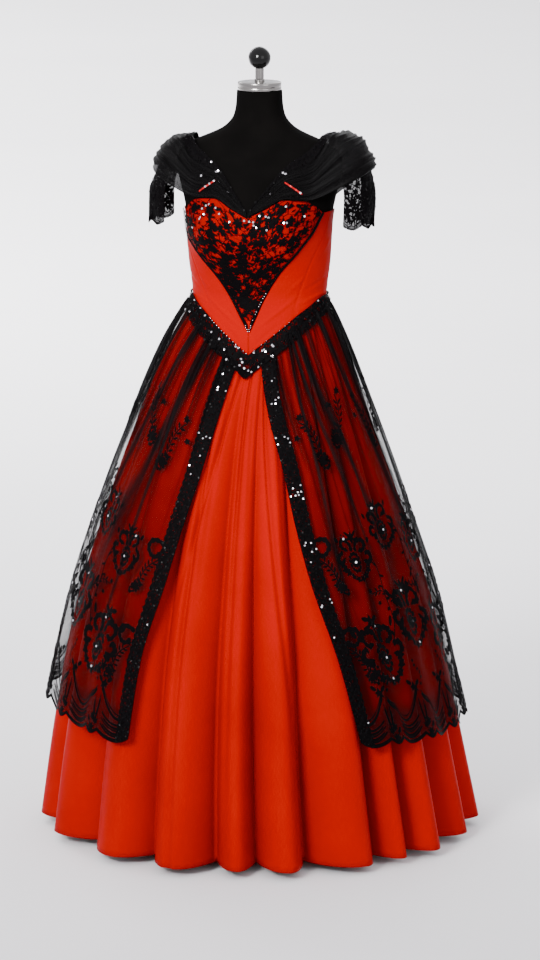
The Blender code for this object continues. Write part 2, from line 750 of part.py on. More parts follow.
def make_sleeves(finishes, collection):
    """Draped tulle, lace caps, neckline trim and the short red strips."""
    for side, word in SIDES:
        rows = sleeve_rows(side)
        shell("sleeve_tulle_" + word, finishes["tulle"], rows, TULLE, collection)
        trim = moved_out(rows, lambda i, j: LACE + TRIM_GAP)[-TRIM_ROWS:]
        shell("neck_trim_" + word, finishes["lace"], trim, LACE, collection)

        def edge(swing_share):
            wave = abs(math.sin(math.pi * CAP_SCALLOPS * swing_share))
            return 1.0 + CAP_SCALLOP * wave

        rows = []
        for rise in shares(CAP_LACE_ROWS):
            line = []
            for share in shares(CAP_LACE_COLUMNS):
                swing = mix(-CAP_LACE_FRONT, CAP_LACE_BACK, share)
                top = drape_end(swing) - CAP_LACE_OVERLAP
                along = mix(edge(share), top, rise)
                point = cap_point(side, swing, min(along, 1.0))
                point.z -= max(along - 1.0, 0.0) * CAP_DROP
                line.append(point)
            rows.append(line)

        def cap_hole(i, j):
            in_body = i in CAP_HOLE_ROWS and 0 < j < CAP_LACE_COLUMNS - 1
            return HOLE_SHARE if in_body and (i + j) % 2 else None

        lace = moved_out(sided(side, rows), lambda i, j: -CAP_LACE_INSET)
        shell("sleeve_lace_" + word, finishes["lace"], lace, LACE, collection, cap_hole)

        start, end = STRIP_ENDS
        rows = []
        for lift in (0.0, STRIP_WIDTH):
            line = []
            for share in shares(STRIP_COLUMNS):
                angle = math.radians(mix(end[0], start[0], share))
                height = mix(end[1], start[1], share) + lift
                line.append(torso(side * angle, height, STRIP_OUT))
            rows.append(line)
        shell("bust_strip_" + word, finishes["satin"], sided(side, rows), LACE, collection)


def make_skirt(finishes, collection):
    """Satin skirt panels, seamed in the valleys of the folds."""
    for name, first, last in SKIRT_PANELS:
        angles = []
        for i, fold in enumerate(FOLDS):
            end = FOLDS[i + 1].valley if i + 1 < len(FOLDS) else 180.0
            if first <= fold.valley < last:
                falling = mix(fold.crest, 1.0, FOLD_FALL_CUT)
                cuts = (0.0, FOLD_RISE_CUT * fold.crest, fold.crest, falling)
                angles += [mix(fold.valley, end, cut) for cut in cuts]
        angles.append(last)
        turn_gap = math.degrees(PANEL_GAP)
        angles[0] += turn_gap
        angles[-1] -= turn_gap
        rows = []
        for drop in reversed(SKIRT_DROPS):
            line = []
            for angle in angles:
                point = skirt_point(math.radians(angle), drop)
                if drop == 0.0:
                    point.z -= SKIRT_SEAM_GAP
                line.append(point)
            rows.append(line)
        shell(name, finishes["satin"], rows, SATIN, collection)


def make_overskirt(finishes, collection):
    """Tulle overskirt with the lace bands down its front edges."""
    for side, word in SIDES:
        rows = []
        bands = []
        for drop in reversed(OVER_DROPS):
            band = band_share(side, drop)
            cuts = [0.0, band / 2.0, band]
            steps = OVER_GATHERS * GATHER_STEPS
            cuts += [mix(band, 1.0, step / steps) for step in range(1, steps + 1)]
            rows.append([over_point(side, cut, drop) for cut in cuts])
            if drop > 0.0:
                bands.append([over_point(side, cut, drop, BAND_OUT) for cut in cuts[:3]])
        shell("overskirt_" + word, finishes["tulle"], sided(side, rows), TULLE, collection)
        shell("edge_band_" + word, finishes["lace"], sided(side, bands), LACE, collection)


def make_waist_band(finishes, collection):
    """Lace band along the V waist, mitred at the centre front."""
    for side, word in SIDES:
        rows = [[], [], [], []]
        for share in shares(WAIST_BAND_STEPS):
            angle = mix(CENTRE_GAP, math.pi - CENTRE_GAP, share)
            place = math.degrees(angle)
            top = read(WAIST, place, "band_top")
            seam = read(WAIST, place, "seam")
            low = read(WAIST, place, "band_low")
            rows[3].append(torso(side * angle, top, LACE_OUT))
            bend = seam + WAIST_BEND_RISE
            rows[2].append(torso(side * angle, bend, BODICE_OUT + WAIST_BAND_OUT))
            rows[1].append(drape_point(side * angle, mix(seam, low, 0.5), WAIST_BAND_OUT))
            flare = WAIST_BAND_OUT + WAIST_BAND_FLARE
            rows[0].append(drape_point(side * angle, low, flare))
        shell("waist_band_" + word, finishes["lace"], sided(side, rows), LACE, collection)


def main():
    """Clear the scene and build the dress form and the gown."""
    for item in list(bpy.data.objects):
        bpy.data.objects.remove(item, do_unlink=True)
    collection = bpy.data.collections.new("ball_gown_on_dress_form")
    bpy.context.scene.collection.children.link(collection)
    finishes = {
        "metal": material("stand_metal", (0.03, 0.03, 0.032), 0.45, 0.6),
        "jersey": material("form_jersey", (0.008, 0.007, 0.007), 0.9),
        "chrome": material("polished_metal", (0.62, 0.6, 0.56), 0.2, 1.0),
        "knob": material("gloss_black", (0.01, 0.01, 0.01), 0.12),
        "satin": material("red_satin", (0.62, 0.022, 0.008), 0.42),
        "lace": material("black_lace", (0.006, 0.005, 0.006), 0.65),
        "tulle": material("black_tulle", (0.012, 0.008, 0.009), 0.8),
    }
    make_stand(finishes, collection)
    make_form(finishes, collection)
    make_bodice(finishes, collection)
    make_sleeves(finishes, collection)
    make_skirt(finishes, collection)
    make_overskirt(finishes, collection)
    make_waist_band(finishes, collection)


main()
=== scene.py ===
"""Looks of the ball gown on its limbless dress form.

Metres, +Z up, the gown's front towards -Y. Left is -X, as seen from the front. The cloth follows
the same sizes as the solids: angles round the body run from 0 at the front to a half turn at the
back, and each cloth surface is a patch whose u runs across and whose v runs up, both 0 to 1.
"""
import math
import random
from collections import namedtuple
from functools import lru_cache

import bpy
import numpy as np
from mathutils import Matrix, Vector


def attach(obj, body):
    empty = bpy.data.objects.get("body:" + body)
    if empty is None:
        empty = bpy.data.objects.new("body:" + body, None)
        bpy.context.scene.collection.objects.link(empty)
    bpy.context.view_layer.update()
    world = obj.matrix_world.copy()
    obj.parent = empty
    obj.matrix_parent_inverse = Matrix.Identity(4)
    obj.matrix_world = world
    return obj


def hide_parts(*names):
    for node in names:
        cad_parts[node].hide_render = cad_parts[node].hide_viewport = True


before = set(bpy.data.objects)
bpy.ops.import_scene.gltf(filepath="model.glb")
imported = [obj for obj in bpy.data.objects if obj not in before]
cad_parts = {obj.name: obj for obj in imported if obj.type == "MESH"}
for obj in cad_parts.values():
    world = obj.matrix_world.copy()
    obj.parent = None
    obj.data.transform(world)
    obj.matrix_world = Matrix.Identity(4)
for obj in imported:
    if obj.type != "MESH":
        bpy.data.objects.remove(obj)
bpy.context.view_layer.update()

SEAM_GAP = 0.0003
SIDES = ((-1, "left"), (1, "right"))
QUARTER = math.pi / 2.0


def table(fields, *rows):
    """Rows of numbers whose columns have names."""
    kind = namedtuple("Row", fields)
    return tuple(kind(*row) for row in rows)


# Stand and dress form
FORM_BOTTOM = 0.820
NECK_TOP = 1.468
CAP_RADIUS = 0.0425
CAP_HEIGHT = 0.0165
ROD_RADIUS = 0.0085
ROD_LENGTH = 0.0255
KNOB_RADIUS = 0.0218

FORM = table("height half_width front back",
    (0.820, 0.150, 0.098, 0.112), (0.900, 0.152, 0.102, 0.116), (0.980, 0.143, 0.098, 0.106),
    (1.040, 0.1315, 0.091, 0.092), (1.070, 0.1295, 0.089, 0.088), (1.100, 0.1325, 0.094, 0.089),
    (1.140, 0.1375, 0.103, 0.094), (1.190, 0.1405, 0.113, 0.100), (1.220, 0.1425, 0.113, 0.103),
    (1.260, 0.1500, 0.103, 0.104), (1.300, 0.1600, 0.088, 0.100), (1.330, 0.1640, 0.076, 0.092),
    (1.348, 0.1580, 0.067, 0.082), (1.360, 0.1450, 0.061, 0.074), (1.372, 0.1245, 0.056, 0.066),
    (1.383, 0.0980, 0.052, 0.060), (1.393, 0.0765, 0.049, 0.055), (1.404, 0.0620, 0.047, 0.051),
    (1.420, 0.0505, 0.0455, 0.048), (1.440, 0.0460, 0.0440, 0.046), (1.468, 0.0440, 0.0430, 0.044))

# Bust fullness, on the form and so in the bodice's cut
BUST_RISE = 0.011
FORM_BUST_SHARE = 0.62
BUST_ANGLE = math.radians(34.0)
BUST_ANGLE_SPREAD = math.radians(19.0)
BUST_HEIGHT = 1.190
BUST_HEIGHT_SPREAD = 0.046

# Half gaps at the seams, as angles in radians
CENTRE_GAP = 0.0003
PANEL_GAP = 0.0040
BACK_GAP = 0.0020

# Bodice
CLOTH = 0.0015
SKIN_GAP = 0.0013
BODICE_OUT = SKIN_GAP + CLOTH
EDGE_RADIUS = 0.125
POINT_RISE = 0.22
HEART_CORE_SHARE = 0.25
HEART_LACE_START = 0.15 * 0.6
SIDE_SEAM = math.radians(90.0)
WAIST = table("angle band_top seam band_low",
    (0.0, 0.963, 0.944, 0.918), (10.0, 0.983, 0.966, 0.943), (27.0, 1.014, 0.995, 0.975),
    (48.0, 1.046, 1.030, 1.010), (80.0, 1.073, 1.057, 1.042), (180.0, 1.075, 1.058, 1.044))
JOINT_FRONT = WAIST[0].seam
JOINT_SIDE = WAIST[-1].seam
HEART_POINT = 1.008
BODICE_TOP_SIDE = 1.240
BODICE_TOP_BACK = 1.225
LACE = 0.0010
LACE_LIFT = 0.0008
LACE_OUT = BODICE_OUT + LACE_LIFT + LACE
PIPING_WIDTH = 0.007

HEART_EDGE = table("height left right",
    (1.008, 0.8, 0.8), (1.033, 7.0, 5.5), (1.065, 15.0, 11.5), (1.097, 23.5, 19.0), (1.127, 35.0, 28.5),
    (1.161, 53.0, 44.0), (1.196, 72.0, 58.0), (1.238, 78.0, 68.0))
SWEETHEART = table("angle height",
    (0.0, 1.231), (13.0, 1.247), (27.0, 1.265), (45.0, 1.262), (58.0, 1.250), (68.0, 1.238),
    (78.0, 1.239))

# Neckline and sleeves
TULLE = 0.0012
SHOULDER_X = 0.130
SHOULDER_HALF_DEPTH = 0.030
FRONT_TURN = 0.32
NECK_FRONT = table("turn top_angle top low_angle",
    (0.00, 0.8, 1.243, 0.8), (0.08, 12.0, 1.285, 13.0), (0.16, 24.0, 1.328, 27.0),
    (0.24, 40.0, 1.351, 44.0), (0.32, 66.0, 1.367, 58.0))
NECK_BACK = table("turn top_angle top low_angle",
    (0.00, 0.8, 1.290, 0.8), (0.16, 30.0, 1.318, 28.0), (0.32, 66.0, 1.364, 58.0))
SWEET_GAP = 0.0022
CAP_SWING = math.radians(80.0)
DRAPE_END = 0.58
DRAPE_FALL = 0.14
DRAPE_FOLD = 0.004
DRAPE_FOLDS = 3
TRIM_ROWS = 3
TRIM_GAP = 0.0008
EASE_PASSES = 5
EASE_REACH = 0.10
EASE_LIFT = 0.0045
SLEEVE_ROWS = 11
SLEEVE_COLUMNS = 26
TRIM_SHARE = (TRIM_ROWS - 1) / SLEEVE_ROWS
CAP = table("along left_reach left right_reach right",
    (0.00, 0.00, 1.379, 0.00, 1.384), (0.22, 0.44, 1.371, 0.50, 1.386),
    (0.42, 0.74, 1.346, 0.84, 1.358), (0.62, 0.90, 1.308, 1.00, 1.312),
    (0.80, 1.06, 1.267, 1.07, 1.268), (1.00, 1.07, 1.214, 1.03, 1.214))
CAP_REACH_LEFT = 0.092
CAP_REACH_RIGHT = 0.100
CAP_DEPTH = 0.078
CAP_DROP = 0.11
CAP_LACE_OVERLAP = 0.10
CAP_LACE_FRONT = math.radians(60.0)
CAP_LACE_BACK = math.radians(53.0)
CAP_LACE_INSET = 0.0079
CAP_SCALLOPS = 4
CAP_SCALLOP = 0.07
STRIP_ENDS = ((24.0, 1.296), (44.0, 1.272))
STRIP_WIDTH = 0.006
STRIP_LIFT = 0.0046
STRIP_OUT = SKIN_GAP + TULLE + STRIP_LIFT

# Skirt
HEM_HEIGHT = 0.018
HEM_HALF_WIDTH = 0.403
HEM_FRONT = 0.402
HEM_BACK = 0.412
FLARE = table("drop spread fold shift",
    (0.00, 0.000, 0.0000, 0.000), (0.03, 0.052, 0.0020, -0.002), (0.08, 0.135, 0.0040, -0.006),
    (0.20, 0.300, 0.0085, -0.011), (0.40, 0.548, 0.0170, -0.013), (0.60, 0.752, 0.0270, -0.013),
    (0.80, 0.884, 0.0360, -0.011), (1.00, 1.000, 0.0430, -0.005))
FOLDS = table("valley crest height",
    (-180.0, 0.50, 0.85), (-161.0, 0.45, 0.95), (-143.0, 0.55, 0.80), (-124.0, 0.50, 1.00),
    (-107.0, 0.50, 1.00), (-90.0, 0.45, 0.70), (-68.0, 0.40, 0.45), (-44.0, 0.60, 0.60),
    (-20.0, 0.52, 0.95), (0.0, 0.62, 0.70), (12.0, 0.60, 1.00), (26.5, 0.68, 1.00), (47.5, 0.48, 0.85),
    (58.5, 0.38, 1.00), (73.5, 0.50, 0.80), (92.0, 0.50, 0.90), (109.0, 0.55, 0.75),
    (128.0, 0.45, 1.00), (146.0, 0.50, 0.85), (163.0, 0.50, 0.95))
SKIRT_PANELS = (
    ("skirt_front", -44.0, 47.5),
    ("skirt_side_right", 47.5, 109.0),
    ("skirt_back_right", 109.0, 180.0),
    ("skirt_back_left", -180.0, -107.0),
    ("skirt_side_left", -107.0, -44.0),
)
SKIRT_SEAM_GAP = 0.0010
FOLD_SOFTNESS = 0.85

# Overskirt
OVER_GATHERS = 9
BAND_WIDTH = 0.030
NEAR_RADIUS = 0.17
FAR_RADIUS = 0.42
OVER_EDGE = table("drop left_edge right_edge gather gap",
    (0.00, 6.5, 9.5, 0.0006, 0.0016), (0.17, 10.0, 17.5, 0.0020, 0.0030),
    (0.32, 13.1, 24.2, 0.0035, 0.0045), (0.46, 16.4, 27.8, 0.0050, 0.0055),
    (0.60, 19.0, 31.5, 0.0065, 0.0060), (0.80, 23.0, 38.0, 0.0090, 0.0060),
    (1.00, 24.0, 42.4, 0.0110, 0.0060))
OVER_HEM = table("angle left right",
    (0.0, 0.250, 0.255), (24.0, 0.252, 0.254), (45.0, 0.265, 0.251), (75.0, 0.280, 0.241),
    (110.0, 0.282, 0.242), (180.0, 0.262, 0.262))
SCALLOP_DEPTH = 0.014
SCALLOPS_PER_SIDE = 10
BAND_OUT = LACE + 0.0004

# Waist band
WAIST_BAND_OUT = OVER_EDGE[0].gap + TULLE + 0.0030
WAIST_BAND_STEPS = 24
WAIST_BAND_FLARE = 0.001
WAIST_BEND_RISE = 0.003


@lru_cache(maxsize=None)
def curve(table, column):
    """Keys, values, steps and slopes of one of a table's columns."""
    keys = [row[0] for row in table]
    values = [getattr(row, column) for row in table]
    steps = [b - a for a, b in zip(keys, keys[1:])]
    rates = [(b - a) / step for a, b, step in zip(values, values[1:], steps)]
    slopes = [rates[0]]
    for before, after in zip(rates, rates[1:]):
        same_way = before * after > 0.0
        slopes.append(2.0 * before * after / (before + after) if same_way else 0.0)
    slopes.append(rates[-1])
    return keys, values, steps, slopes


def read(table, place, column):
    """Value of a column at a place along the table's first column, on a curve with no overshoot."""
    keys, values, steps, slopes = curve(table, column)
    place = min(max(place, keys[0]), keys[-1])
    i = 0
    while i < len(steps) - 1 and place > keys[i + 1]:
        i += 1
    t = (place - keys[i]) / steps[i]
    rise = values[i + 1] - values[i]
    ease = t * t * (3.0 - 2.0 * t)
    start = steps[i] * slopes[i] * t * (1.0 - t) ** 2
    end = steps[i] * slopes[i + 1] * t * t * (1.0 - t)
    return values[i] + rise * ease + start - end


def mix(a, b, share):
    """The value, or point, at a share of the way from a to b."""
    return a * (1.0 - share) + b * share


def skin(angle, height, fullness=1.0):
    """Point on the surface that the bodice is cut to; the dress form has less fullness."""
    half_width = read(FORM, height, "half_width")
    forward = math.cos(angle)
    depth = read(FORM, height, "front" if forward > 0.0 else "back")
    across = (abs(angle) - BUST_ANGLE) / BUST_ANGLE_SPREAD
    up = (height - BUST_HEIGHT) / BUST_HEIGHT_SPREAD
    bust = fullness * BUST_RISE * math.exp(-across * across - up * up)
    return Vector((half_width * math.sin(angle), -depth * forward - bust, height))


def torso(angle, height, out):
    """Point moved out from the dress form's skin, square to it."""
    step = 0.0005
    across = skin(angle + step, height) - skin(angle - step, height)
    up = skin(angle, height + step) - skin(angle, height - step)
    return skin(angle, height) + across.cross(up).normalized() * out


def word_of(side):
    """Name of a side, -1 or 1."""
    return "right" if side > 0 else "left"


def joint_height(angle):
    """Height of the seam between bodice and skirt, a V at the front."""
    return read(WAIST, abs(math.degrees(angle)), "seam")


def fold_height(angle):
    """Height of the skirt's folds at an angle, from -1 in a valley to about 1 on a crest."""
    degrees = math.degrees(angle)
    for i, fold in enumerate(FOLDS):
        end = FOLDS[i + 1].valley if i + 1 < len(FOLDS) else 180.0
        if fold.valley <= degrees <= end:
            t = (degrees - fold.valley) / (end - fold.valley)
            side = t / fold.crest if t < fold.crest else (1.0 - t) / (1.0 - fold.crest)
            return -1.0 + (1.0 + fold.height) * math.sin(side * QUARTER) ** FOLD_SOFTNESS
    return -1.0


def skirt_shape(angle, drop):
    """Middle surface of the skirt, before its folds; drop is 0 at the waist seam, 1 at the hem."""
    top = torso(angle, joint_height(angle), BODICE_OUT)
    depth = HEM_FRONT if math.cos(angle) > 0.0 else HEM_BACK
    hem = Vector((HEM_HALF_WIDTH * math.sin(angle), -depth * math.cos(angle), HEM_HEIGHT))
    spread = read(FLARE, drop, "spread")
    point = mix(top, hem, spread)
    point.z = mix(top.z, hem.z, drop)
    point.x += read(FLARE, drop, "shift")
    return point


def outward(angle):
    """Level direction away from the body's axis."""
    return Vector((math.sin(angle), -math.cos(angle), 0.0))


def skirt_point(angle, drop, out=0.0):
    """Point on the skirt's outer side, with its folds."""
    fold = read(FLARE, drop, "fold") * fold_height(angle)
    return skirt_shape(angle, drop) + outward(angle) * (fold + out)


def drape_point(angle, height, out):
    """Point on a cloth that spans the skirt's crests."""
    seam = joint_height(angle)
    drop = (seam - height) / (seam - HEM_HEIGHT)
    return skirt_shape(angle, drop) + outward(angle) * (read(FLARE, drop, "fold") + out)


def edge_angle(side, drop):
    """Angle of the overskirt's front edge on one side, counted positive on both sides."""
    return math.radians(read(OVER_EDGE, drop, word_of(side) + "_edge"))


def band_share(side, drop):
    """Share of the overskirt's width that its edge band takes up."""
    reach = mix(NEAR_RADIUS, FAR_RADIUS, drop)
    return BAND_WIDTH / reach / (math.pi - edge_angle(side, drop))


def over_hem(side, angle, share):
    """Height of the overskirt's scalloped hem."""
    along = share * SCALLOPS_PER_SIDE % 1.0
    if along < BIG_SHARE:
        drop = SCALLOP_DEPTH * math.sin(math.pi * along / BIG_SHARE) ** 0.8
    else:
        drop = SMALL_DEPTH * math.sin(math.pi * (along - BIG_SHARE) / (1.0 - BIG_SHARE))
    return read(OVER_HEM, math.degrees(angle), word_of(side)) - drop


def over_point(side, share, drop, out=0.0):
    """Point on the overskirt; share is 0 at the front edge and 1 at the centre back."""
    back = math.pi - BACK_GAP
    angle = mix(edge_angle(side, drop), back, share)
    height = mix(joint_height(angle), over_hem(side, angle, share), drop)
    band = band_share(side, drop)
    beyond = max(share - band, 0.0) / (1.0 - band)
    gather = read(OVER_EDGE, drop, "gather") * math.sin(math.pi * OVER_GATHERS * beyond) ** 2
    gap = read(OVER_EDGE, drop, "gap")
    return drape_point(side * angle, height, gap + TULLE + gather + out)


def heart_edge(side, rise):
    """Height and angle of the heart panel's side edge; rise is 0 at the point, 1 at the corner."""
    height = mix(HEART_POINT, HEART_EDGE[-1].height, rise)
    return height, math.radians(read(HEART_EDGE, height, word_of(side)))


def heart_place(across, rise):
    """Angle and height on the heart panel; across runs from -1 to 1 between its side edges."""
    height, edge = heart_edge(across, rise)
    angle = across * edge
    top = read(SWEETHEART, abs(math.degrees(angle)), "height")
    return angle, height + (top - HEART_EDGE[-1].height) * rise ** 3


def heart_point(across, rise, out):
    """Point on the heart panel."""
    angle, height = heart_place(across, rise)
    return torso(angle, height, out)


def side_front_point(side, across, rise, out):
    """Point on a side front; across is 0 at the heart's edge and 1 at the side seam."""
    if rise < POINT_RISE:
        height = mix(JOINT_FRONT, HEART_POINT, rise / POINT_RISE)
        inner = CENTRE_GAP
    else:
        inner, height = heart_place(side, (rise - POINT_RISE) / (1.0 - POINT_RISE))
        inner = abs(inner) + PANEL_GAP
    outer_height = mix(JOINT_SIDE, BODICE_TOP_SIDE, rise)
    angle = mix(inner, SIDE_SEAM - PANEL_GAP, across)
    straight = mix(JOINT_FRONT, JOINT_SIDE, across)
    below = mix(CENTRE_GAP, SIDE_SEAM - PANEL_GAP, across)
    curve = (joint_height(below) - straight) * (1.0 - rise) ** 3
    return torso(side * angle, mix(height, outer_height, across) + curve, out)


def back_point(side, across, rise, out):
    """Point on a bodice back; across is 0 at the side seam and 1 at the centre back."""
    angle = mix(SIDE_SEAM + PANEL_GAP, math.pi - CENTRE_GAP, across)
    top = mix(BODICE_TOP_SIDE, BODICE_TOP_BACK, across)
    return torso(side * angle, mix(joint_height(angle), top, rise), out)


def cap_point(side, swing, along):
    """Point on the sleeve cap; swing is 0 at the outer side, negative in front of the arm."""
    column = word_of(side)
    share = read(CAP, along, column + "_reach")
    reach = CAP_REACH_RIGHT if side > 0 else CAP_REACH_LEFT
    depth = mix(SHOULDER_HALF_DEPTH, CAP_DEPTH, share)
    x = SHOULDER_X + reach * share * math.cos(swing)
    return Vector((side * x, depth * math.sin(swing), read(CAP, along, column)))


def drape_end(swing):
    """How far along the sleeve cap the draped tulle reaches."""
    return DRAPE_END + DRAPE_FALL * math.sin(swing) ** 2


def sleeve_column(side, turn, rises):
    """One column of the draped sleeve; turn runs from 0 at the centre front to 1 at the back."""
    out = SKIN_GAP + TULLE
    if turn <= FRONT_TURN or turn >= 1.0 - FRONT_TURN:
        table = NECK_FRONT if turn <= FRONT_TURN else NECK_BACK
        place = turn if turn <= FRONT_TURN else 1.0 - turn
        top_angle = math.radians(read(table, place, "top_angle"))
        low_angle = math.radians(read(table, place, "low_angle"))
        top = read(table, place, "top")
        if table is NECK_FRONT:
            low = read(SWEETHEART, math.degrees(low_angle), "height") + SWEET_GAP
        else:
            low = mix(BODICE_TOP_BACK, BODICE_TOP_SIDE, low_angle / QUARTER) + SWEET_GAP
        points = []
        for rise in rises:
            angle = mix(low_angle, top_angle, rise)
            if table is NECK_BACK:
                angle = math.pi - angle
            points.append(torso(side * angle, mix(low, top, rise), out))
        return points
    swing = mix(-CAP_SWING, CAP_SWING, (turn - FRONT_TURN) / (1.0 - 2.0 * FRONT_TURN))
    return [cap_point(side, swing, drape_end(swing) * (1.0 - rise)) for rise in rises]


def ease_weight(turn):
    """Weight of the easing, 1 where the sleeve leaves the body and 0 away from there."""
    near = min(abs(turn - FRONT_TURN), abs(turn - 1.0 + FRONT_TURN))
    return max(1.0 - near / EASE_REACH, 0.0)


def eased(columns, turns):
    """Columns of points, eased into each other where the sleeve leaves the body."""
    for _ in range(EASE_PASSES):
        before = columns
        columns = [list(before[0])]
        for j in range(1, len(before) - 1):
            weight = 0.5 * ease_weight(turns[j])
            around = [mix(a, b, 0.5) for a, b in zip(before[j - 1], before[j + 1])]
            columns.append([mix(a, b, weight) for a, b in zip(before[j], around)])
        columns.append(list(before[-1]))
    return columns


def moved_out(rows, distance):
    """The same rows of points, each moved along the surface's normal."""
    moved = []
    for i, row in enumerate(rows):
        below = rows[max(i - 1, 0)]
        above = rows[min(i + 1, len(rows) - 1)]
        line = []
        for j, point in enumerate(row):
            across = row[min(j + 1, len(row) - 1)] - row[max(j - 1, 0)]
            normal = across.cross(above[j] - below[j]).normalized()
            line.append(point + normal * distance(i, j))
        moved.append(line)
    return moved


def sleeve_rows(side):
    """Rows of the draped sleeve's outer side, lowest row first, with its soft folds."""
    rises = [i / SLEEVE_ROWS for i in range(SLEEVE_ROWS + 1)]
    turns = [i / SLEEVE_COLUMNS for i in range(SLEEVE_COLUMNS + 1)]
    columns = eased([sleeve_column(side, turn, rises) for turn in turns], turns)
    rows = [[column[i] for column in columns] for i in range(len(rises))]
    if side < 0:
        rows = [list(reversed(row)) for row in rows]

    def fold(i, j):
        spread = math.sin(math.pi * turns[j])
        below_trim = min(rises[i] / (1.0 - TRIM_SHARE), 1.0)
        wave = math.sin(math.pi * DRAPE_FOLDS * below_trim) ** 2
        return DRAPE_FOLD * spread * wave + EASE_LIFT * ease_weight(turns[j])

    return moved_out(rows, fold)


def shares(count):
    """Evenly spaced shares from 0 to 1."""
    return [i / count for i in range(count + 1)]


# Camera, at the photograph's viewing angle
CAMERA_TURN = math.radians(12.5)
CAMERA_DISTANCE = 9.0
CAMERA_HEIGHT = 2.457
CAMERA_PITCH = math.radians(11.065)
CAMERA_YAW = math.radians(-0.1294)
CAMERA_LENS = 174.34
SENSOR = 36.0

# Studio: lights as name, place, target, size in metres, power in watts and spread in degrees
FORM_MIDDLE = (0.0, 0.0, 0.85)
LIGHTS = (
    ("key", (-1.2, -5.0, 3.2), (0.0, 0.0, 1.2), 1.8, 52.0, 42.0),
    ("fill", (3.4, -3.4, 2.2), FORM_MIDDLE, 2.4, 44.0, 180.0),
    ("rim", (0.5, 4.2, 3.2), FORM_MIDDLE, 2.4, 60.0, 180.0),
    ("backdrop_near", (-5.0, 5.5, 5.0), (-5.0, 8.0, 0.0), 5.0, 1900.0, 180.0),
    ("backdrop_far", (-9.0, 14.0, 7.0), (-9.0, 17.0, 0.0), 8.0, 2600.0, 180.0),
)
SKY_COLOUR = (0.97, 0.96, 1.0, 1.0)
SKY_STRENGTH = 1.50
FLOOR_PALE = (0.82, 0.81, 0.83)
FLOOR_DUSTY = (0.79, 0.78, 0.80)
FLOOR_HALF_SIZE = 40.0

# Turned pieces on top of the form
TURNED_CORE = 0.001
CAP_RIM = 0.0016
ROD_FOOT = 0.0015

# Cloth of the scene
SATIN_WALL = 0.0008
STITCH_LIFT = 0.0003
STITCH_HEIGHT = 0.0007
SEQUIN_RADIUS = 0.0021
BEAD_RADIUS = 0.0012
FINE = 6


class Patch:
    """A cloth surface as a grid of points; v runs up its rows and u across its columns."""

    def __init__(self, rows):
        self.points = np.array([[tuple(point) for point in row] for row in rows], dtype=float)
        across = np.gradient(self.points, axis=1)
        up = np.gradient(self.points, axis=0)
        normals = np.cross(across, up)
        lengths = np.linalg.norm(normals, axis=2, keepdims=True)
        normals = normals / np.maximum(lengths, 1e-12)
        away = (normals[..., :2] * self.points[..., :2]).sum()
        self.sign = 1.0 if away > 0.0 else -1.0
        self.normals = normals * self.sign
        row_count, column_count = self.points.shape[:2]
        self.widths = np.linalg.norm(across, axis=2).mean(axis=1) * (column_count - 1)
        self.heights = np.linalg.norm(up, axis=2).mean(axis=0) * (row_count - 1)

    def at(self, u, v, out=0.0):
        """Points at places on the patch, moved out by a distance."""
        u, v, out = np.broadcast_arrays(np.asarray(u, float), np.asarray(v, float), out)
        row_count, column_count = self.points.shape[:2]
        x = np.clip(u, 0.0, 1.0) * (column_count - 1)
        y = np.clip(v, 0.0, 1.0) * (row_count - 1)
        j = np.minimum(x.astype(int), column_count - 2)
        i = np.minimum(y.astype(int), row_count - 2)
        s = (x - j)[..., None]
        t = (y - i)[..., None]

        def between(field):
            low = field[i, j] * (1.0 - s) + field[i, j + 1] * s
            high = field[i + 1, j] * (1.0 - s) + field[i + 1, j + 1] * s
            return low * (1.0 - t) + high * t

        return between(self.points) + between(self.normals) * out[..., None]

    def scale(self, u, v):
        """Metres for one unit of u and for one unit of v at a place."""
        rows = np.linspace(0.0, 1.0, len(self.widths))
        columns = np.linspace(0.0, 1.0, len(self.heights))
        return float(np.interp(v, rows, self.widths)), float(np.interp(u, columns, self.heights))

    def moved(self, distance):
        """The patch moved out by one distance, or by a grid of distances."""
        distance = np.broadcast_to(distance, self.points.shape[:2])
        return Patch(self.points + self.normals * distance[..., None])

    def area(self):
        """Area of the cloth in square metres."""
        one = self.points[1:, 1:] - self.points[:-1, :-1]
        other = self.points[1:, :-1] - self.points[:-1, 1:]
        return float(np.linalg.norm(np.cross(one, other), axis=2).sum() / 2.0)


def part_of(patch, us, vs, out=0.0):
    """A patch made from places on another one, moved out by a distance."""
    return Patch(patch.at(us, vs, out))


def refined(rows, factor):
    """Rows of points with factor times as many each way, on smooth curves through them."""
    points = np.array([[tuple(point) for point in row] for row in rows], dtype=float)
    for axis in (0, 1):
        points = np.moveaxis(points, axis, 0)
        last = len(points) - 1
        places = np.linspace(0.0, last, last * factor + 1)
        i = np.minimum(places.astype(int), last - 1)
        t = (places - i)[:, None, None]
        here, there = points[i], points[i + 1]
        before = points[np.maximum(i - 1, 0)]
        after = points[np.minimum(i + 2, last)]
        curve = 2.0 * here + (there - before) * t
        curve = curve + (2.0 * before - 5.0 * here + 4.0 * there - after) * t ** 2
        curve = curve + (3.0 * here - before - 3.0 * there + after) * t ** 3
        points = np.moveaxis(curve / 2.0, 0, axis)
    return points


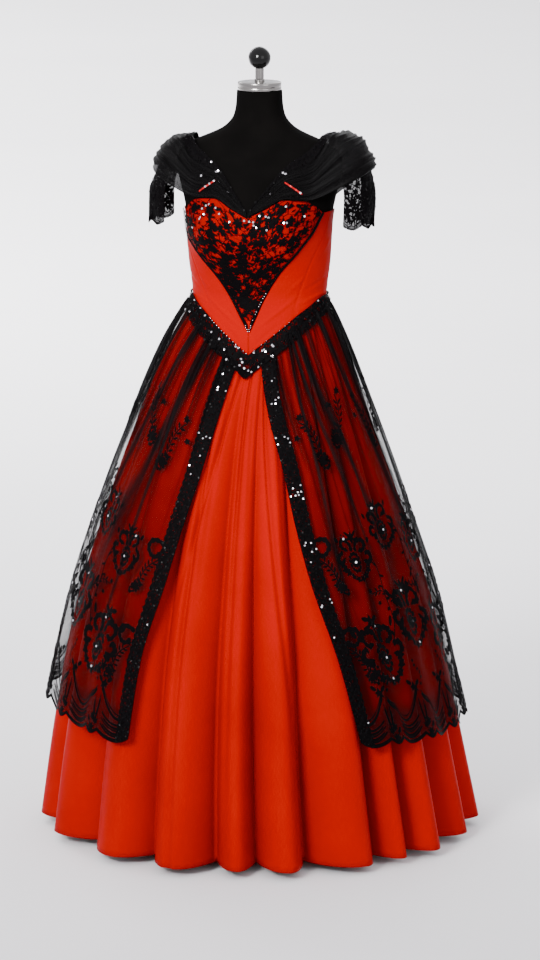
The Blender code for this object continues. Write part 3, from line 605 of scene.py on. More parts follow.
def crease_grid(us, vs, creases, size):
    """Height of soft ridges and troughs at places on a patch of the given size in metres."""
    height = np.zeros(np.broadcast(us, vs).shape)
    for crease in creases:
        start = np.array((crease.u0 * size[0], crease.v0 * size[1]))
        along = np.array((crease.u1 * size[0], crease.v1 * size[1])) - start
        x = us * size[0] - start[0]
        y = vs * size[1] - start[1]
        share = np.clip((x * along[0] + y * along[1]) / (along @ along), 0.0, 1.0)
        gap = (x - share * along[0]) ** 2 + (y - share * along[1]) ** 2
        ends = np.sin(np.pi * np.clip(share, 0.06, 0.94)) ** 0.5
        height += crease.depth * ends * np.exp(-gap / crease.width ** 2)
    return height


def new_mesh(name, points, faces, finish):
    """Object with a mesh, smooth shading and one material."""
    mesh = bpy.data.meshes.new(name)
    mesh.from_pydata([tuple(point) for point in points], [], faces)
    mesh.shade_smooth()
    mesh.materials.append(finish)
    item = bpy.data.objects.new(name, mesh)
    bpy.context.scene.collection.objects.link(item)
    return item


def cloth(name, patch, finish, wall=0.0, tulle_cover_with_shade=None):
    """Piece of cloth on a patch, with UVs in metres, and a wall if one is given."""
    row_count, column_count = patch.points.shape[:2]
    faces = []
    for i in range(row_count - 1):
        for j in range(column_count - 1):
            a = i * column_count + j
            quad = (a, a + 1, a + 1 + column_count, a + column_count)
            faces.append(quad if patch.sign > 0.0 else quad[::-1])
    item = new_mesh(name, patch.points.reshape(-1, 3), faces, finish)
    mesh = item.data
    us = np.tile(np.linspace(0.0, patch.widths.mean(), column_count), row_count)
    vs = np.repeat(np.linspace(0.0, patch.heights.mean(), row_count), column_count)
    corners = np.empty(len(mesh.loops), dtype=np.int32)
    mesh.loops.foreach_get("vertex_index", corners)
    places = np.stack((us[corners], vs[corners]), axis=1)
    mesh.uv_layers.new(name="metres").data.foreach_set("uv", places.ravel())
    # Per-point tulle cover: denser gathered thread plus painted shade along the fold valleys.
    if tulle_cover_with_shade is not None:
        layer = mesh.attributes.new("gathered_cover_and_shade", "FLOAT", "POINT")
        layer.data.foreach_set("value", np.asarray(tulle_cover_with_shade, dtype=float).ravel())
    if wall:
        shell = item.modifiers.new("Wall", "SOLIDIFY")
        shell.thickness = wall
        shell.offset = -1.0
    return item


class Stitching:
    """Flat shapes sewn on a patch, gathered into one mesh."""

    def __init__(self, patch, lift=STITCH_LIFT):
        self.patch = patch
        self.lift = lift
        self.spots = []
        self.outs = []
        self.faces = []

    def add(self, u, v, out):
        """One more point; its number."""
        self.spots.append((u, v))
        self.outs.append(self.lift + out)
        return len(self.spots) - 1

    def fan(self, u, v, outline, height=STITCH_HEIGHT):
        """Domed shape round a place, from an outline in metres."""
        across, up = self.patch.scale(u, v)
        middle = self.add(u, v, height)
        ring = [self.add(u + x / across, v + y / up, 0.0) for x, y in outline]
        for here, there in zip(ring, ring[1:] + ring[:1]):
            self.faces.append((middle, here, there))

    def ribbon(self, path, width, height=STITCH_HEIGHT):
        """Raised band along a path of places; width is one number or one for each place."""
        spots = np.array(path, dtype=float)
        widths = np.broadcast_to(width, len(spots))
        scales = np.array([self.patch.scale(u, v) for u, v in spots])
        ahead = np.gradient(spots, axis=0) * scales
        ahead = ahead / np.maximum(np.linalg.norm(ahead, axis=1, keepdims=True), 1e-9)
        aside = np.stack((-ahead[:, 1], ahead[:, 0]), axis=1) * widths[:, None] / 2.0 / scales
        last = None
        for (u, v), (du, dv) in zip(spots, aside):
            line = (self.add(u + du, v + dv, 0.0), self.add(u, v, height))
            line += (self.add(u - du, v - dv, 0.0),)
            if last:
                for k in range(2):
                    self.faces.append((last[k], last[k + 1], line[k + 1], line[k]))
            last = line

    def finish(self, name, finish):
        """The gathered shapes as one object."""
        spots = np.array(self.spots)
        points = self.patch.at(spots[:, 0], spots[:, 1], np.array(self.outs))
        faces = self.faces
        if self.patch.sign < 0.0:
            faces = [face[::-1] for face in faces]
        return new_mesh(name, points, faces, finish)


def petal_outline(radius, petals, depth, turn, steps=4):
    """Outline of a flower with rounded petals."""
    outline = []
    for k in range(petals * steps):
        angle = math.tau * k / (petals * steps)
        reach = radius * (1.0 - depth * (0.5 + 0.5 * math.cos(petals * angle)))
        outline.append((reach * math.cos(angle + turn), reach * math.sin(angle + turn)))
    return outline


def leaf_outline(length, width, turn):
    """Outline of a pointed leaf round its middle."""
    outline = []
    for k in range(8):
        angle = math.tau * k / 8
        x = length / 2.0 * math.cos(angle)
        y = width / 2.0 * math.sin(angle) * (1.0 if k % 4 else 0.0)
        outline.append((x * math.cos(turn) - y * math.sin(turn),
                        x * math.sin(turn) + y * math.cos(turn)))
    return outline


def flower(work, u, v, radius, petals=6, turn=0.0):
    """Flower with a raised middle."""
    work.fan(u, v, petal_outline(radius, petals, 0.42, turn))
    work.fan(u, v, petal_outline(radius * 0.34, 5, 0.15, turn), STITCH_HEIGHT * 2.2)


def offset_path(work, u, v, path):
    """Places for a path of offsets in metres from a place."""
    across, up = work.patch.scale(u, v)
    return [(u + x / across, v + y / up) for x, y in path]


def scroll_path(x, y, radius, start, turns, way, steps=18):
    """Offsets along a scroll that winds in from its outer end."""
    path = []
    for k in range(steps + 1):
        share = k / steps
        angle = start + way * math.tau * turns * share
        reach = radius * (1.0 - 0.62 * share)
        path.append((x + reach * math.cos(angle), y + reach * math.sin(angle)))
    return path


def leafy_widths(count, width):
    """Widths along a ribbon with small leaves along both edges."""
    return [width * (0.62 + 0.38 * abs(math.sin(1.57 * k))) for k in range(count)]


def frame_of(normal):
    """The normal, and two directions square to it and to each other."""
    axis = Vector(normal)
    side = axis.orthogonal().normalized()
    return axis, side, axis.cross(side)


def discs(name, points, normals, radius, tilt, finish, seed, rim=8):
    """Small round sequins at points, each turned and tilted a little."""
    chance = random.Random(seed)
    verts = []
    faces = []
    for point, normal in zip(points, normals):
        axis, side, other = frame_of(normal)
        lean = side * chance.uniform(-tilt, tilt) + other * chance.uniform(-tilt, tilt)
        axis, side, other = frame_of((axis + lean).normalized())
        first = len(verts)
        centre = Vector(point) + Vector(normal) * radius * tilt * 0.8
        verts.append(centre - axis * radius * 0.12)
        for k in range(rim):
            angle = math.tau * k / rim
            verts.append(centre + (side * math.cos(angle) + other * math.sin(angle)) * radius)
            faces.append((first, first + 1 + k, first + 1 + (k + 1) % rim))
    return new_mesh(name, verts, faces, finish)


def beads(name, points, normals, radius, finish, rim=6):
    """Small round beads that sit on points."""
    verts = []
    faces = []
    for point, normal in zip(points, normals):
        axis, side, other = frame_of(normal)
        first = len(verts)
        centre = Vector(point) + axis * radius
        verts.append(centre + axis * radius)
        verts.append(centre - axis * radius)
        for k in range(rim):
            angle = math.tau * k / rim
            verts.append(centre + (side * math.cos(angle) + other * math.sin(angle)) * radius)
            here = first + 2 + k
            there = first + 2 + (k + 1) % rim
            faces.append((first, here, there))
            faces.append((first + 1, there, here))
    return new_mesh(name, verts, faces, finish)


def places_on(patch, spots, out):
    """Points and normals at places on a patch."""
    spots = np.array(spots)
    step = 0.001
    low = patch.at(spots[:, 0], spots[:, 1], out)
    high = patch.at(spots[:, 0], spots[:, 1], out + step)
    return low, (high - low) / step


def grid(columns, rows):
    """Evenly spaced u and v of a grid of places."""
    return np.meshgrid(np.linspace(0.0, 1.0, columns), np.linspace(0.0, 1.0, rows))


def middles(count):
    """Numbers from 0, each with the middle of its share of the way from 0 to 1."""
    return [(k, (k + 0.5) / count) for k in range(count)]


# Creases of the bodice, their ends in shares of a panel's width and height
CREASE_FIELDS = "u0 v0 u1 v1 depth width"
SIDE_FRONT_CREASES = table(CREASE_FIELDS,
    (0.44, 0.03, 0.50, 0.97, -0.0011, 0.0022), (0.10, 0.22, 0.42, 0.30, 0.0012, 0.0060),
    (0.52, 0.20, 0.92, 0.12, 0.0013, 0.0055), (0.55, 0.33, 0.95, 0.30, -0.0011, 0.0060),
    (0.30, 0.40, 0.45, 0.47, 0.0008, 0.0070), (0.60, 0.62, 0.93, 0.70, 0.0008, 0.0090),
    (0.05, 0.10, 0.30, 0.14, -0.0009, 0.0050))
BACK_CREASES = table(CREASE_FIELDS,
    (0.46, 0.03, 0.40, 0.97, -0.0011, 0.0022), (0.08, 0.16, 0.40, 0.10, 0.0012, 0.0060),
    (0.50, 0.13, 0.90, 0.20, -0.0011, 0.0060), (0.55, 0.26, 0.94, 0.30, 0.0010, 0.0065),
    (0.10, 0.33, 0.36, 0.40, 0.0009, 0.0070), (0.55, 0.70, 0.88, 0.64, 0.0007, 0.0090))
HEART_CREASES = table(CREASE_FIELDS,
    (0.50, 0.05, 0.50, 0.55, -0.0005, 0.0050), (0.22, 0.80, 0.42, 0.72, 0.0006, 0.0080),
    (0.60, 0.70, 0.80, 0.80, 0.0006, 0.0080))

# Colours that several materials share
SATIN_RED = (0.270, 0.0008, 0.0003)
THREAD_BLACK = (0.0013, 0.0010, 0.0012)
SLEEVE_BLACK = (0.0012, 0.0010, 0.0011)
JERSEY_BLACK = (0.0016, 0.0014, 0.0013)

# Materials by name, filled in by main, and the slots of those that aren't lace
FINISH = {}
SLOT_OF = {"satin": "red_satin", "over_tulle": "black_tulle", "sleeve_tulle": "black_tulle"}
FORM_PIECE = "form_jersey_body"

# Least width of cut cloth, as sheet works it out
LEAST_WIDTH = 0.0101

# Heart panel sequins in the pale silver finish, painted glints, in shares of its width and height
HEART_GLINT_SEQUINS = (
    (0.24, 0.93), (0.27, 0.95), (0.29, 0.96), (0.25, 0.89), (0.21, 0.86), (0.22, 0.87),
    (0.33, 0.94), (0.35, 0.91), (0.49, 0.97), (0.52, 0.96), (0.545, 0.94), (0.55, 0.91),
    (0.57, 0.88), (0.58, 0.97), (0.62, 0.94), (0.64, 0.92), (0.645, 0.83), (0.73, 0.96),
    (0.755, 0.85), (0.775, 0.85), (0.12, 0.80), (0.88, 0.90), (0.41, 0.90),
)

# Long soft troughs of the satin skirt, between its main folds
TROUGH_FIELDS = "angle top low lean depth width"
FRONT_TROUGHS = table(TROUGH_FIELDS,
    (-36.0, 0.02, 0.52, -3.0, 0.0042, 1.8), (-27.0, 0.02, 0.64, -1.5, 0.0038, 1.6),
    (-1.0, -0.05, 0.52, -16.0, 0.0085, 0.9), (-12.5, 0.16, 1.20, 2.5, 0.0110, 1.1),
    (-6.5, 0.00, 0.50, -1.5, 0.0028, 0.9), (4.0, -0.08, 1.00, 0.0, 0.0100, 0.9),
    (8.5, 0.05, 0.42, 0.5, 0.0022, 1.0), (13.0, -0.06, 0.92, 14.0, 0.0095, 1.0),
    (22.5, 0.10, 0.60, 2.0, 0.0030, 1.3), (33.0, 0.02, 0.60, 2.0, 0.0042, 1.8),
    (41.0, 0.02, 0.44, 2.0, 0.0038, 1.6))
ROUND_TROUGHS = 44

# Sharper bottoms of the skirt's main folds, in metres and degrees
VALLEY_DEPTH = 0.002
VALLEY_WIDTH = 1.6

# Small tucks where the overskirt is gathered to the waist: their number, sizes, the share of the
# width that they take up and how far down they run
TUCKS = 44
TUCK_HEIGHT = 0.0050
TUCK_WIDTH = 0.0060
# TUCK_SHADE is the width of the painted shade streak beside each tuck.
TUCK_SHADE = 0.0078
TUCK_RANGE = (0.045, 0.995)
TUCK_DROPS = (0.26, 0.34, 0.42, 0.52, 0.66, 0.82)
LONG_FOLD_HEIGHT = 0.004

# How much more the tulle covers, for denser gathered thread and as painted shade along the fold
# valleys: the range, and the border along the hem
COVER_SHADE_RANGE = (-0.24, 0.55)
BORDER_TOP = 0.100
BORDER_FADE = 0.020
BORDER_CLOSE = 0.20

# Long dark folds of the overskirt, their darkness painted into the tulle's cover as folded-over layers
# and their shade, beside a low ridge: share at the waist, share at the end, drop of the end, width
LONG_FOLDS_LEFT = (
    (0.050, 0.040, 0.34, 0.0060), (0.120, 0.215, 0.66, 0.0130), (0.155, 0.115, 0.90, 0.0045),
    (0.215, 0.300, 0.60, 0.0100), (0.330, 0.345, 0.78, 0.0100), (0.405, 0.430, 0.50, 0.0090),
    (0.400, 0.400, 1.25, 0.0180), (0.455, 0.470, 1.20, 0.0160),
    (0.530, 0.520, 0.70, 0.0110), (0.660, 0.690, 0.58, 0.0100), (0.820, 0.800, 0.74, 0.0110),
)
LONG_FOLDS_RIGHT = (
    (0.125, 0.075, 0.62, 0.0050), (0.140, 0.185, 0.60, 0.0060), (0.165, 0.250, 0.60, 0.0115),
    (0.300, 0.410, 0.72, 0.0120), (0.390, 0.400, 0.60, 0.0080), (0.470, 0.455, 0.76, 0.0110),
    (0.480, 0.500, 1.25, 0.0180), (0.550, 0.560, 1.20, 0.0160),
    (0.620, 0.640, 0.55, 0.0100), (0.790, 0.770, 0.72, 0.0110),
)

# Scallops of the overskirt's hem, one big and one small in each stretch
BIG_SHARE = 0.68
SMALL_DEPTH = 0.009

# Heart panel's lace
HEART_FLOWERS = 92
HEART_LEAVES = 250
HEART_SCROLLS = 60

# Fine folds of the draped sleeve, from its lower edge up
FINE_FOLDS = 9
FINE_FOLD_FIRST = 0.03
FINE_FOLD_STEP = 0.088
FINE_FOLD_SWAY = 0.020
FINE_FOLD_HEIGHT = 0.0042
FINE_FOLD_WIDTH = 0.017

# Neckline trim
TRIM_SCALLOPS = 38.0
TRIM_SEQUINS = 40
TRIM_FLOWERS = 60

# Lace caps; the lines are height and width of a ribbon
CAP_SMALL_SCALLOPS = 7.0
CAP_SMALL_SCALLOP = 0.008
CAP_WAVE = 0.0022
CAP_LINES = ((0.016, 0.0030), (0.105, 0.0016), (0.145, 0.0012))
CAP_BARS = 96
CAP_BIG_FLOWERS = 15
CAP_SMALL_FLOWERS = 26

# Bands down the overskirt's front edges
BAND_ROWS = 520
BAND_OUTER_SCALLOPS = 84.0
BAND_INNER_SCALLOPS = 56.0
BAND_FLOWERS = 62

# Waist band; the rosettes are u, v, radius, petals and turn
WAIST_SCALLOPS = 30.0
WAIST_FLOWERS = 46
WAIST_ROSETTES = {
    "left": ((0.024, 0.10, 0.0130, 8, 0.4),),
    "right": ((0.012, 0.02, 0.0150, 8, 0.2), (0.030, 0.16, 0.0110, 7, 0.5)),
}

# Hem border, in metres: swags as lift and width, or as low, high and width; flowers between the
# big scallops as offset in u, lift, radius, petals and turn
NESTED_SWAGS = ((0.012, 0.0042), (0.024, 0.0030), (0.036, 0.0042))
LEAF_ROWS = (0.017, 0.029)
HANGING_SWAGS = (
    ((0.048, 0.094, 0.0056), (0.057, 0.101, 0.0026)),
    ((0.026, 0.070, 0.0050), (0.040, 0.080, 0.0026)),
)
PEAK_FLOWERS = (
    (0.0, 0.013, 0.0110, 6, 0.3), (0.0, 0.036, 0.0090, 6, 0.9),
    (-0.010, 0.024, 0.0070, 5, 0.9), (0.010, 0.024, 0.0070, 5, 0.9),
)

# Medallions: scrolls as x, y, radius, start angle and turns; leaves as x, y and angle
MEDALLION_SCROLLS = ((0.026, 0.036, 0.020, 3.6, 0.95), (0.040, 0.004, 0.014, 1.9, 0.80))
MEDALLION_LEAVES = ((0.013, 0.070, 0.7), (0.016, 0.056, 0.1), (0.050, 0.052, 1.2))

# Columns of embroidery on each half of the overskirt, in shares of its width, and the heights
# of the medallions in even and odd columns
SPRAY_COLUMNS = 8
SPRAY_FIRST = 0.115
SPRAY_STEP = 0.118
MEDALLION_ROWS = ((0.205, 0.435), (0.275, 0.490))


def add_node(tree, kind, **settings):
    """New shader node with some of its settings."""
    node = tree.nodes.new(kind)
    for name, value in settings.items():
        setattr(node, name, value)
    return node


def principled(name, colour, roughness, metallic=0.0, shine=0.5):
    """Material with a Principled shader; the material, its tree and the shader."""
    finish = bpy.data.materials.new(name)
    finish.use_nodes = True
    tree = finish.node_tree
    shader = tree.nodes["Principled BSDF"]
    shader.inputs["Base Color"].default_value = (*colour, 1.0)
    shader.inputs["Roughness"].default_value = roughness
    shader.inputs["Metallic"].default_value = metallic
    shader.inputs["Specular IOR Level"].default_value = shine
    return finish, tree, shader


def metres(tree, source="UV"):
    """Socket of the cloth's own coordinates in metres, or of the object's."""
    return add_node(tree, "ShaderNodeTexCoord").outputs[source]


def noise(tree, place, scale, detail=3.0, stretch=None):
    """Socket of a noise, whose scale is in waves for each metre."""
    if stretch:
        mapping = add_node(tree, "ShaderNodeMapping")
        mapping.inputs["Scale"].default_value = stretch
        tree.links.new(place, mapping.inputs["Vector"])
        place = mapping.outputs["Vector"]
    texture = add_node(tree, "ShaderNodeTexNoise")
    texture.inputs["Scale"].default_value = scale
    texture.inputs["Detail"].default_value = detail
    tree.links.new(place, texture.inputs["Vector"])
    return texture.outputs["Fac"]


def spread(tree, value, low, high, to_low, to_high):
    """Socket with a value spread from one range to another."""
    node = add_node(tree, "ShaderNodeMapRange", clamp=True)
    node.inputs["From Min"].default_value = low
    node.inputs["From Max"].default_value = high
    node.inputs["To Min"].default_value = to_low
    node.inputs["To Max"].default_value = to_high
    tree.links.new(value, node.inputs["Value"])
    return node.outputs["Result"]


def maths(tree, operation, first, second):
    """Socket of a sum, product or the like of a socket and a socket or number."""
    node = add_node(tree, "ShaderNodeMath", operation=operation)
    tree.links.new(first, node.inputs[0])
    if isinstance(second, (int, float)):
        node.inputs[1].default_value = second
    else:
        tree.links.new(second, node.inputs[1])
    return node.outputs[0]


def two_colours(tree, shader, value, one, other):
    """Base colour between two colours, by a value."""
    blend = add_node(tree, "ShaderNodeMix", data_type="RGBA")
    blend.inputs[6].default_value = (*one, 1.0)
    blend.inputs[7].default_value = (*other, 1.0)
    tree.links.new(value, blend.inputs[0])
    tree.links.new(blend.outputs[2], shader.inputs["Base Color"])


def bump(tree, shader, value, distance, strength=1.0, under=None):
    """Relief from a value, on top of another relief if one is given."""
    node = add_node(tree, "ShaderNodeBump")
    node.inputs["Distance"].default_value = distance
    node.inputs["Strength"].default_value = strength
    tree.links.new(value, node.inputs["Height"])
    if under:
        tree.links.new(under, node.inputs["Normal"])
    tree.links.new(node.outputs["Normal"], shader.inputs["Normal"])
    return node.outputs["Normal"]


def net(tree, place, cell, thread):
    """Socket that is 1 on the threads of a net and 0 in its gaps."""
    texture = add_node(tree, "ShaderNodeTexVoronoi", feature="DISTANCE_TO_EDGE")
    texture.inputs["Scale"].default_value = 1.0 / cell
    texture.inputs["Randomness"].default_value = 0.35
    tree.links.new(place, texture.inputs["Vector"])
    return maths(tree, "LESS_THAN", texture.outputs["Distance"], thread)


def satin_finish():
    """Red satin with a soft shine, a fine twill and faint pull marks."""
    finish, tree, shader = principled("satin_red", SATIN_RED, 0.50, shine=0.02)
    shader.inputs["Specular Tint"].default_value = (1.0, 0.15, 0.08, 1.0)
    place = metres(tree)
    cloudy = noise(tree, place, 5.0)
    deeper = tuple(0.84 * part for part in SATIN_RED)
    two_colours(tree, shader, spread(tree, cloudy, 0.3, 0.7, 0.0, 1.0), SATIN_RED, deeper)
    streaks = noise(tree, place, 60.0, 2.0, (6.0, 0.5, 1.0))
    tree.links.new(spread(tree, streaks, 0.3, 0.7, 0.46, 0.58), shader.inputs["Roughness"])
    soft = bump(tree, shader, noise(tree, place, 14.0, 2.0), 0.0022, 0.45)
    twill = noise(tree, place, 900.0, 1.0, (1.0, 0.35, 1.0))
    bump(tree, shader, twill, 0.00010, 0.35, soft)
    return finish


def tulle_finish(name, least, most, colour, shine):
    """Black tulle: a fine net whose threads lie closer where it is gathered, with painted shade added
    to its cover along the fold valleys.
    """
    finish, tree, shader = principled(name, colour, 0.52, shine=shine)
    place = metres(tree)
    threads = net(tree, place, 0.0019, 0.16)
    cover = spread(tree, threads, 0.0, 1.0, least, most)
    cloudy = spread(tree, noise(tree, place, 22.0), 0.3, 0.7, -0.04, 0.04)
    # Painted shade: this attribute raises the cover partly for the denser gathered thread and partly as
    # shade in the fold valleys.
    gathered = add_node(tree, "ShaderNodeAttribute", attribute_name="gathered_cover_and_shade").outputs["Fac"]
    cover = maths(tree, "ADD", maths(tree, "ADD", cover, cloudy), gathered)
    tree.links.new(maths(tree, "MINIMUM", cover, 1.0), shader.inputs["Alpha"])
    bump(tree, shader, threads, 0.0002, 0.4)
    return finish


def lace_finish(name, cell, closed, least, net_share):
    """Black lace ground: close threads round small uneven gaps that a fine net fills."""
    finish, tree, shader = principled(name, THREAD_BLACK, 0.70, shine=0.03)
    place = metres(tree)
    gaps = add_node(tree, "ShaderNodeTexVoronoi", feature="DISTANCE_TO_EDGE")
    gaps.inputs["Scale"].default_value = 1.0 / cell
    tree.links.new(place, gaps.inputs["Vector"])
    edge = maths(tree, "LESS_THAN", gaps.outputs["Distance"], closed)
    fine = maths(tree, "MULTIPLY", net(tree, place, 0.0017, 0.14), net_share)
    cover = maths(tree, "MAXIMUM", edge, maths(tree, "ADD", fine, least))
    tree.links.new(maths(tree, "MINIMUM", cover, 1.0), shader.inputs["Alpha"])
    threads = noise(tree, place, 700.0, 2.0)
    bump(tree, shader, maths(tree, "ADD", edge, threads), 0.0004, 0.5)
    return finish


def thread_finish():
    """Black embroidery thread with a faint silky shine."""
    finish, tree, shader = principled("thread_black", THREAD_BLACK, 0.55, shine=0.015)
    place = metres(tree, "Object")
    strands = noise(tree, place, 1100.0, 2.0)
    tree.links.new(spread(tree, strands, 0.2, 0.8, 0.45, 0.70), shader.inputs["Roughness"])
    bump(tree, shader, strands, 0.0003, 0.6)
    return finish


def sequin_finish(name, colour, roughness, metallic, shine):
    """Sequin foil, a little uneven."""
    finish, tree, shader = principled(name, colour, roughness, metallic, shine)
    uneven = noise(tree, metres(tree, "Object"), 260.0, 1.0)
    rough = spread(tree, uneven, 0.3, 0.7, roughness * 0.6, roughness * 1.6)
    tree.links.new(rough, shader.inputs["Roughness"])
    return finish


def jersey_finish():
    """Matt black jersey of the dress form."""
    finish, tree, shader = principled("jersey_black", JERSEY_BLACK, 0.90, shine=0.02)
    place = metres(tree, "Object")
    pile = noise(tree, place, 1300.0, 2.0)
    dusty = spread(tree, noise(tree, place, 18.0, 4.0), 0.35, 0.7, 0.0, 1.0)
    worn = tuple(1.5 * part for part in JERSEY_BLACK)
    two_colours(tree, shader, dusty, JERSEY_BLACK, worn)
    bump(tree, shader, pile, 0.0004, 0.4)
    return finish


def metal_finish(name, colour, roughness, metallic, scratch, shine=0.5):
    """Metal or gloss paint with fine wear in its shine."""
    finish, tree, shader = principled(name, colour, roughness, metallic, shine)
    place = metres(tree, "Object")
    rubbed = noise(tree, place, 90.0, 4.0, (1.0, 1.0, 6.0))
    rough = spread(tree, rubbed, 0.3, 0.7, roughness - scratch, roughness + scratch)
    tree.links.new(rough, shader.inputs["Roughness"])
    bump(tree, shader, noise(tree, place, 500.0, 2.0), 0.00005, 0.3)
    return finish


def make_finishes():
    """All materials of the scene."""
    return {
        "satin": satin_finish(),
        "over_tulle": tulle_finish("tulle_over", 0.40, 0.66, THREAD_BLACK, 0.02),
        "sleeve_tulle": tulle_finish("tulle_sleeve", 0.92, 1.00, SLEEVE_BLACK, 0.035),
        "heart_net": lace_finish("lace_heart", 0.0150, 0.020, 0.04, 0.22),
        "cap_net": lace_finish("lace_cap", 0.0100, 0.090, 0.84, 0.12),
        "waist_lace": lace_finish("lace_waist", 0.0085, 0.150, 0.24, 0.34),
        "band_lace": lace_finish("lace_band", 0.0066, 0.22, 0.40, 0.45),
        "thread": thread_finish(),
        "dark": sequin_finish("sequin_black", (0.0013, 0.0012, 0.0015), 0.30, 0.0, 0.035),
        # Painted glints: a pale silver copy of the black sequins, put where highlights fall.
        "bright": sequin_finish("sequin_silver_painted_glint", (0.62, 0.60, 0.64), 0.16, 0.9, 0.5),
        "ruby": sequin_finish("sequin_red", (0.30, 0.002, 0.003), 0.30, 0.2, 0.2),
        "bead": sequin_finish("bead_black", (0.0015, 0.0015, 0.0018), 0.14, 0.0, 0.08),
        "jersey": jersey_finish(),
        "chrome": metal_finish("cap_metal", (0.24, 0.23, 0.22), 0.20, 1.0, 0.06),
        "gloss": metal_finish("knob_gloss", (0.0015, 0.0015, 0.0015), 0.10, 0.0, 0.03, 0.22),
        "stand": metal_finish("stand_paint", (0.010, 0.010, 0.011), 0.45, 0.3, 0.08),
    }


def keep(item, slot, *nodes):
    """Lets a piece ride on the gown, in place of the nodes it stands for."""
    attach(item, "root")
    if nodes:
        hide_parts(*nodes)
    return item


def sheet(patch):
    """Works out the flat width, length and area of a patch's cloth; nothing is done with them."""
    width = max(float(patch.widths.max()), LEAST_WIDTH)
    length = float(patch.heights.max())
    area = min(max(patch.area(), 0.31 * width * length), width * length)


def turned(name, finish, profile, steps=96):
    """Piece turned round the Z axis from a profile of (radius, height), top to bottom."""
    points = []
    faces = []
    for radius, height in profile:
        for k in range(steps):
            angle = math.tau * k / steps
            points.append((radius * math.cos(angle), radius * math.sin(angle), height))
    for i in range(len(profile) - 1):
        for k in range(steps):
            after = (k + 1) % steps
            a, b = i * steps + k, i * steps + after
            faces.append((a, a + steps, b + steps, b))
    faces.append(tuple(range(steps)))
    last = (len(profile) - 1) * steps
    faces.append(tuple(reversed(range(last, last + steps))))
    item = new_mesh(name, points, faces, finish)
    item.data.set_sharp_from_angle(angle=math.radians(50.0))
    return item


def sequins(name, patch, spots, out, radius, tilt, look, seed, slot="black_lace"):
    """Sequins at places on a patch, as a piece that rides on the gown."""
    return keep(discs(name, *places_on(patch, spots, out), radius, tilt, FINISH[look], seed), slot)


def bead_row(name, patch, spots, out, radius, look):
    """Beads at places on a patch, as a piece that rides on the gown."""
    return keep(beads(name, *places_on(patch, spots, out), radius, FINISH[look]), "black_lace")


def stitched(name, work):
    """Embroidery, as a piece that rides on the gown."""
    return keep(work.finish(name, FINISH["thread"]), "black_lace")


def dress(name, node, patch, look):
    """Piece of cloth in place of a node, whose flat size is worked out; satin has a wall."""
    wall = SATIN_WALL if look == "satin" else 0.0
    item = keep(cloth(name, patch, FINISH[look], wall), SLOT_OF.get(look, "black_lace"), node)
    sheet(patch)


def make_form():
    """Jersey torso, metal neck cap, rod and ball."""
    columns = 96
    heights = np.linspace(FORM_BOTTOM, NECK_TOP, 130)
    angles = [math.tau * j / columns for j in range(columns)]
    angles = [angle - math.tau if angle > math.pi else angle for angle in angles]
    points = [skin(angle, height, FORM_BUST_SHARE) for height in heights for angle in angles]
    faces = []
    for i in range(len(heights) - 1):
        for j in range(columns):
            a, b = i * columns + j, i * columns + (j + 1) % columns
            faces.append((a, b, b + columns, a + columns))
    faces.append(tuple(reversed(range(columns))))
    last = (len(heights) - 1) * columns
    faces.append(tuple(range(last, last + columns)))
    body = new_mesh(FORM_PIECE, points, faces, FINISH["jersey"])
    body.data.set_sharp_from_angle(angle=math.radians(60.0))
    keep(body, "form_jersey", "form_body")

    bottom = NECK_TOP + SEAM_GAP
    top = bottom + CAP_HEIGHT
    rim = CAP_RIM
    groove = mix(bottom, top, 0.42)
    profile = [(TURNED_CORE, top), (CAP_RADIUS - rim, top)]
    profile += [(CAP_RADIUS - rim * (1.0 - math.sin(a)), top - rim * (1.0 - math.cos(a)))
                for a in (0.5, 1.0, 1.57)]
    profile += [(CAP_RADIUS, groove + 0.0008), (CAP_RADIUS - 0.0006, groove),
                (CAP_RADIUS, groove - 0.0008), (CAP_RADIUS, bottom + rim),
                (CAP_RADIUS - rim, bottom), (TURNED_CORE, bottom)]
    keep(turned("neck_cap_polished", FINISH["chrome"], profile), "polished_metal", "neck_cap")
    rod_bottom = top + SEAM_GAP
    rod_top = rod_bottom + ROD_LENGTH
    foot = ROD_RADIUS + ROD_FOOT
    profile = [(TURNED_CORE, rod_top), (ROD_RADIUS, rod_top),
               (ROD_RADIUS, mix(rod_bottom, rod_top, 0.22)), (foot, mix(rod_bottom, rod_top, 0.18)),
               (foot, rod_bottom), (TURNED_CORE, rod_bottom)]
    keep(turned("knob_rod_polished", FINISH["chrome"], profile), "polished_metal", "knob_rod")
    flat = math.asin(ROD_RADIUS / KNOB_RADIUS)
    centre = rod_top + SEAM_GAP + KNOB_RADIUS * math.cos(flat)
    profile = []
    for share in shares(40):
        polar = mix(0.02, math.pi - flat, share)
        profile.append((KNOB_RADIUS * math.sin(polar), centre + KNOB_RADIUS * math.cos(polar)))
    keep(turned("knob_ball", FINISH["gloss"], profile), "gloss_black", "knob")
    for node in ("base_plate", "pole", "pole_collar"):
        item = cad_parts[node]
        item.data.materials.clear()
        item.data.materials.append(FINISH["stand"])


def fine_patch(place, columns, rows):
    """Patch from a function of u and v."""
    return Patch([[place(u, v) for u in shares(columns)] for v in shares(rows)])


def creased(patch, creases):
    """Patch with soft ridges and troughs laid on it."""
    rows, columns = patch.points.shape[:2]
    us, vs = grid(columns, rows)
    size = (patch.widths.mean(), patch.heights.mean())
    return patch.moved(crease_grid(us, vs, creases, size))


def heart_inside(side, rise):
    """Share of the heart panel's half width that its lace covers."""
    edge = heart_edge(side, rise)[1]
    return max(1.0 - PIPING_WIDTH / (EDGE_RADIUS * edge), HEART_CORE_SHARE)


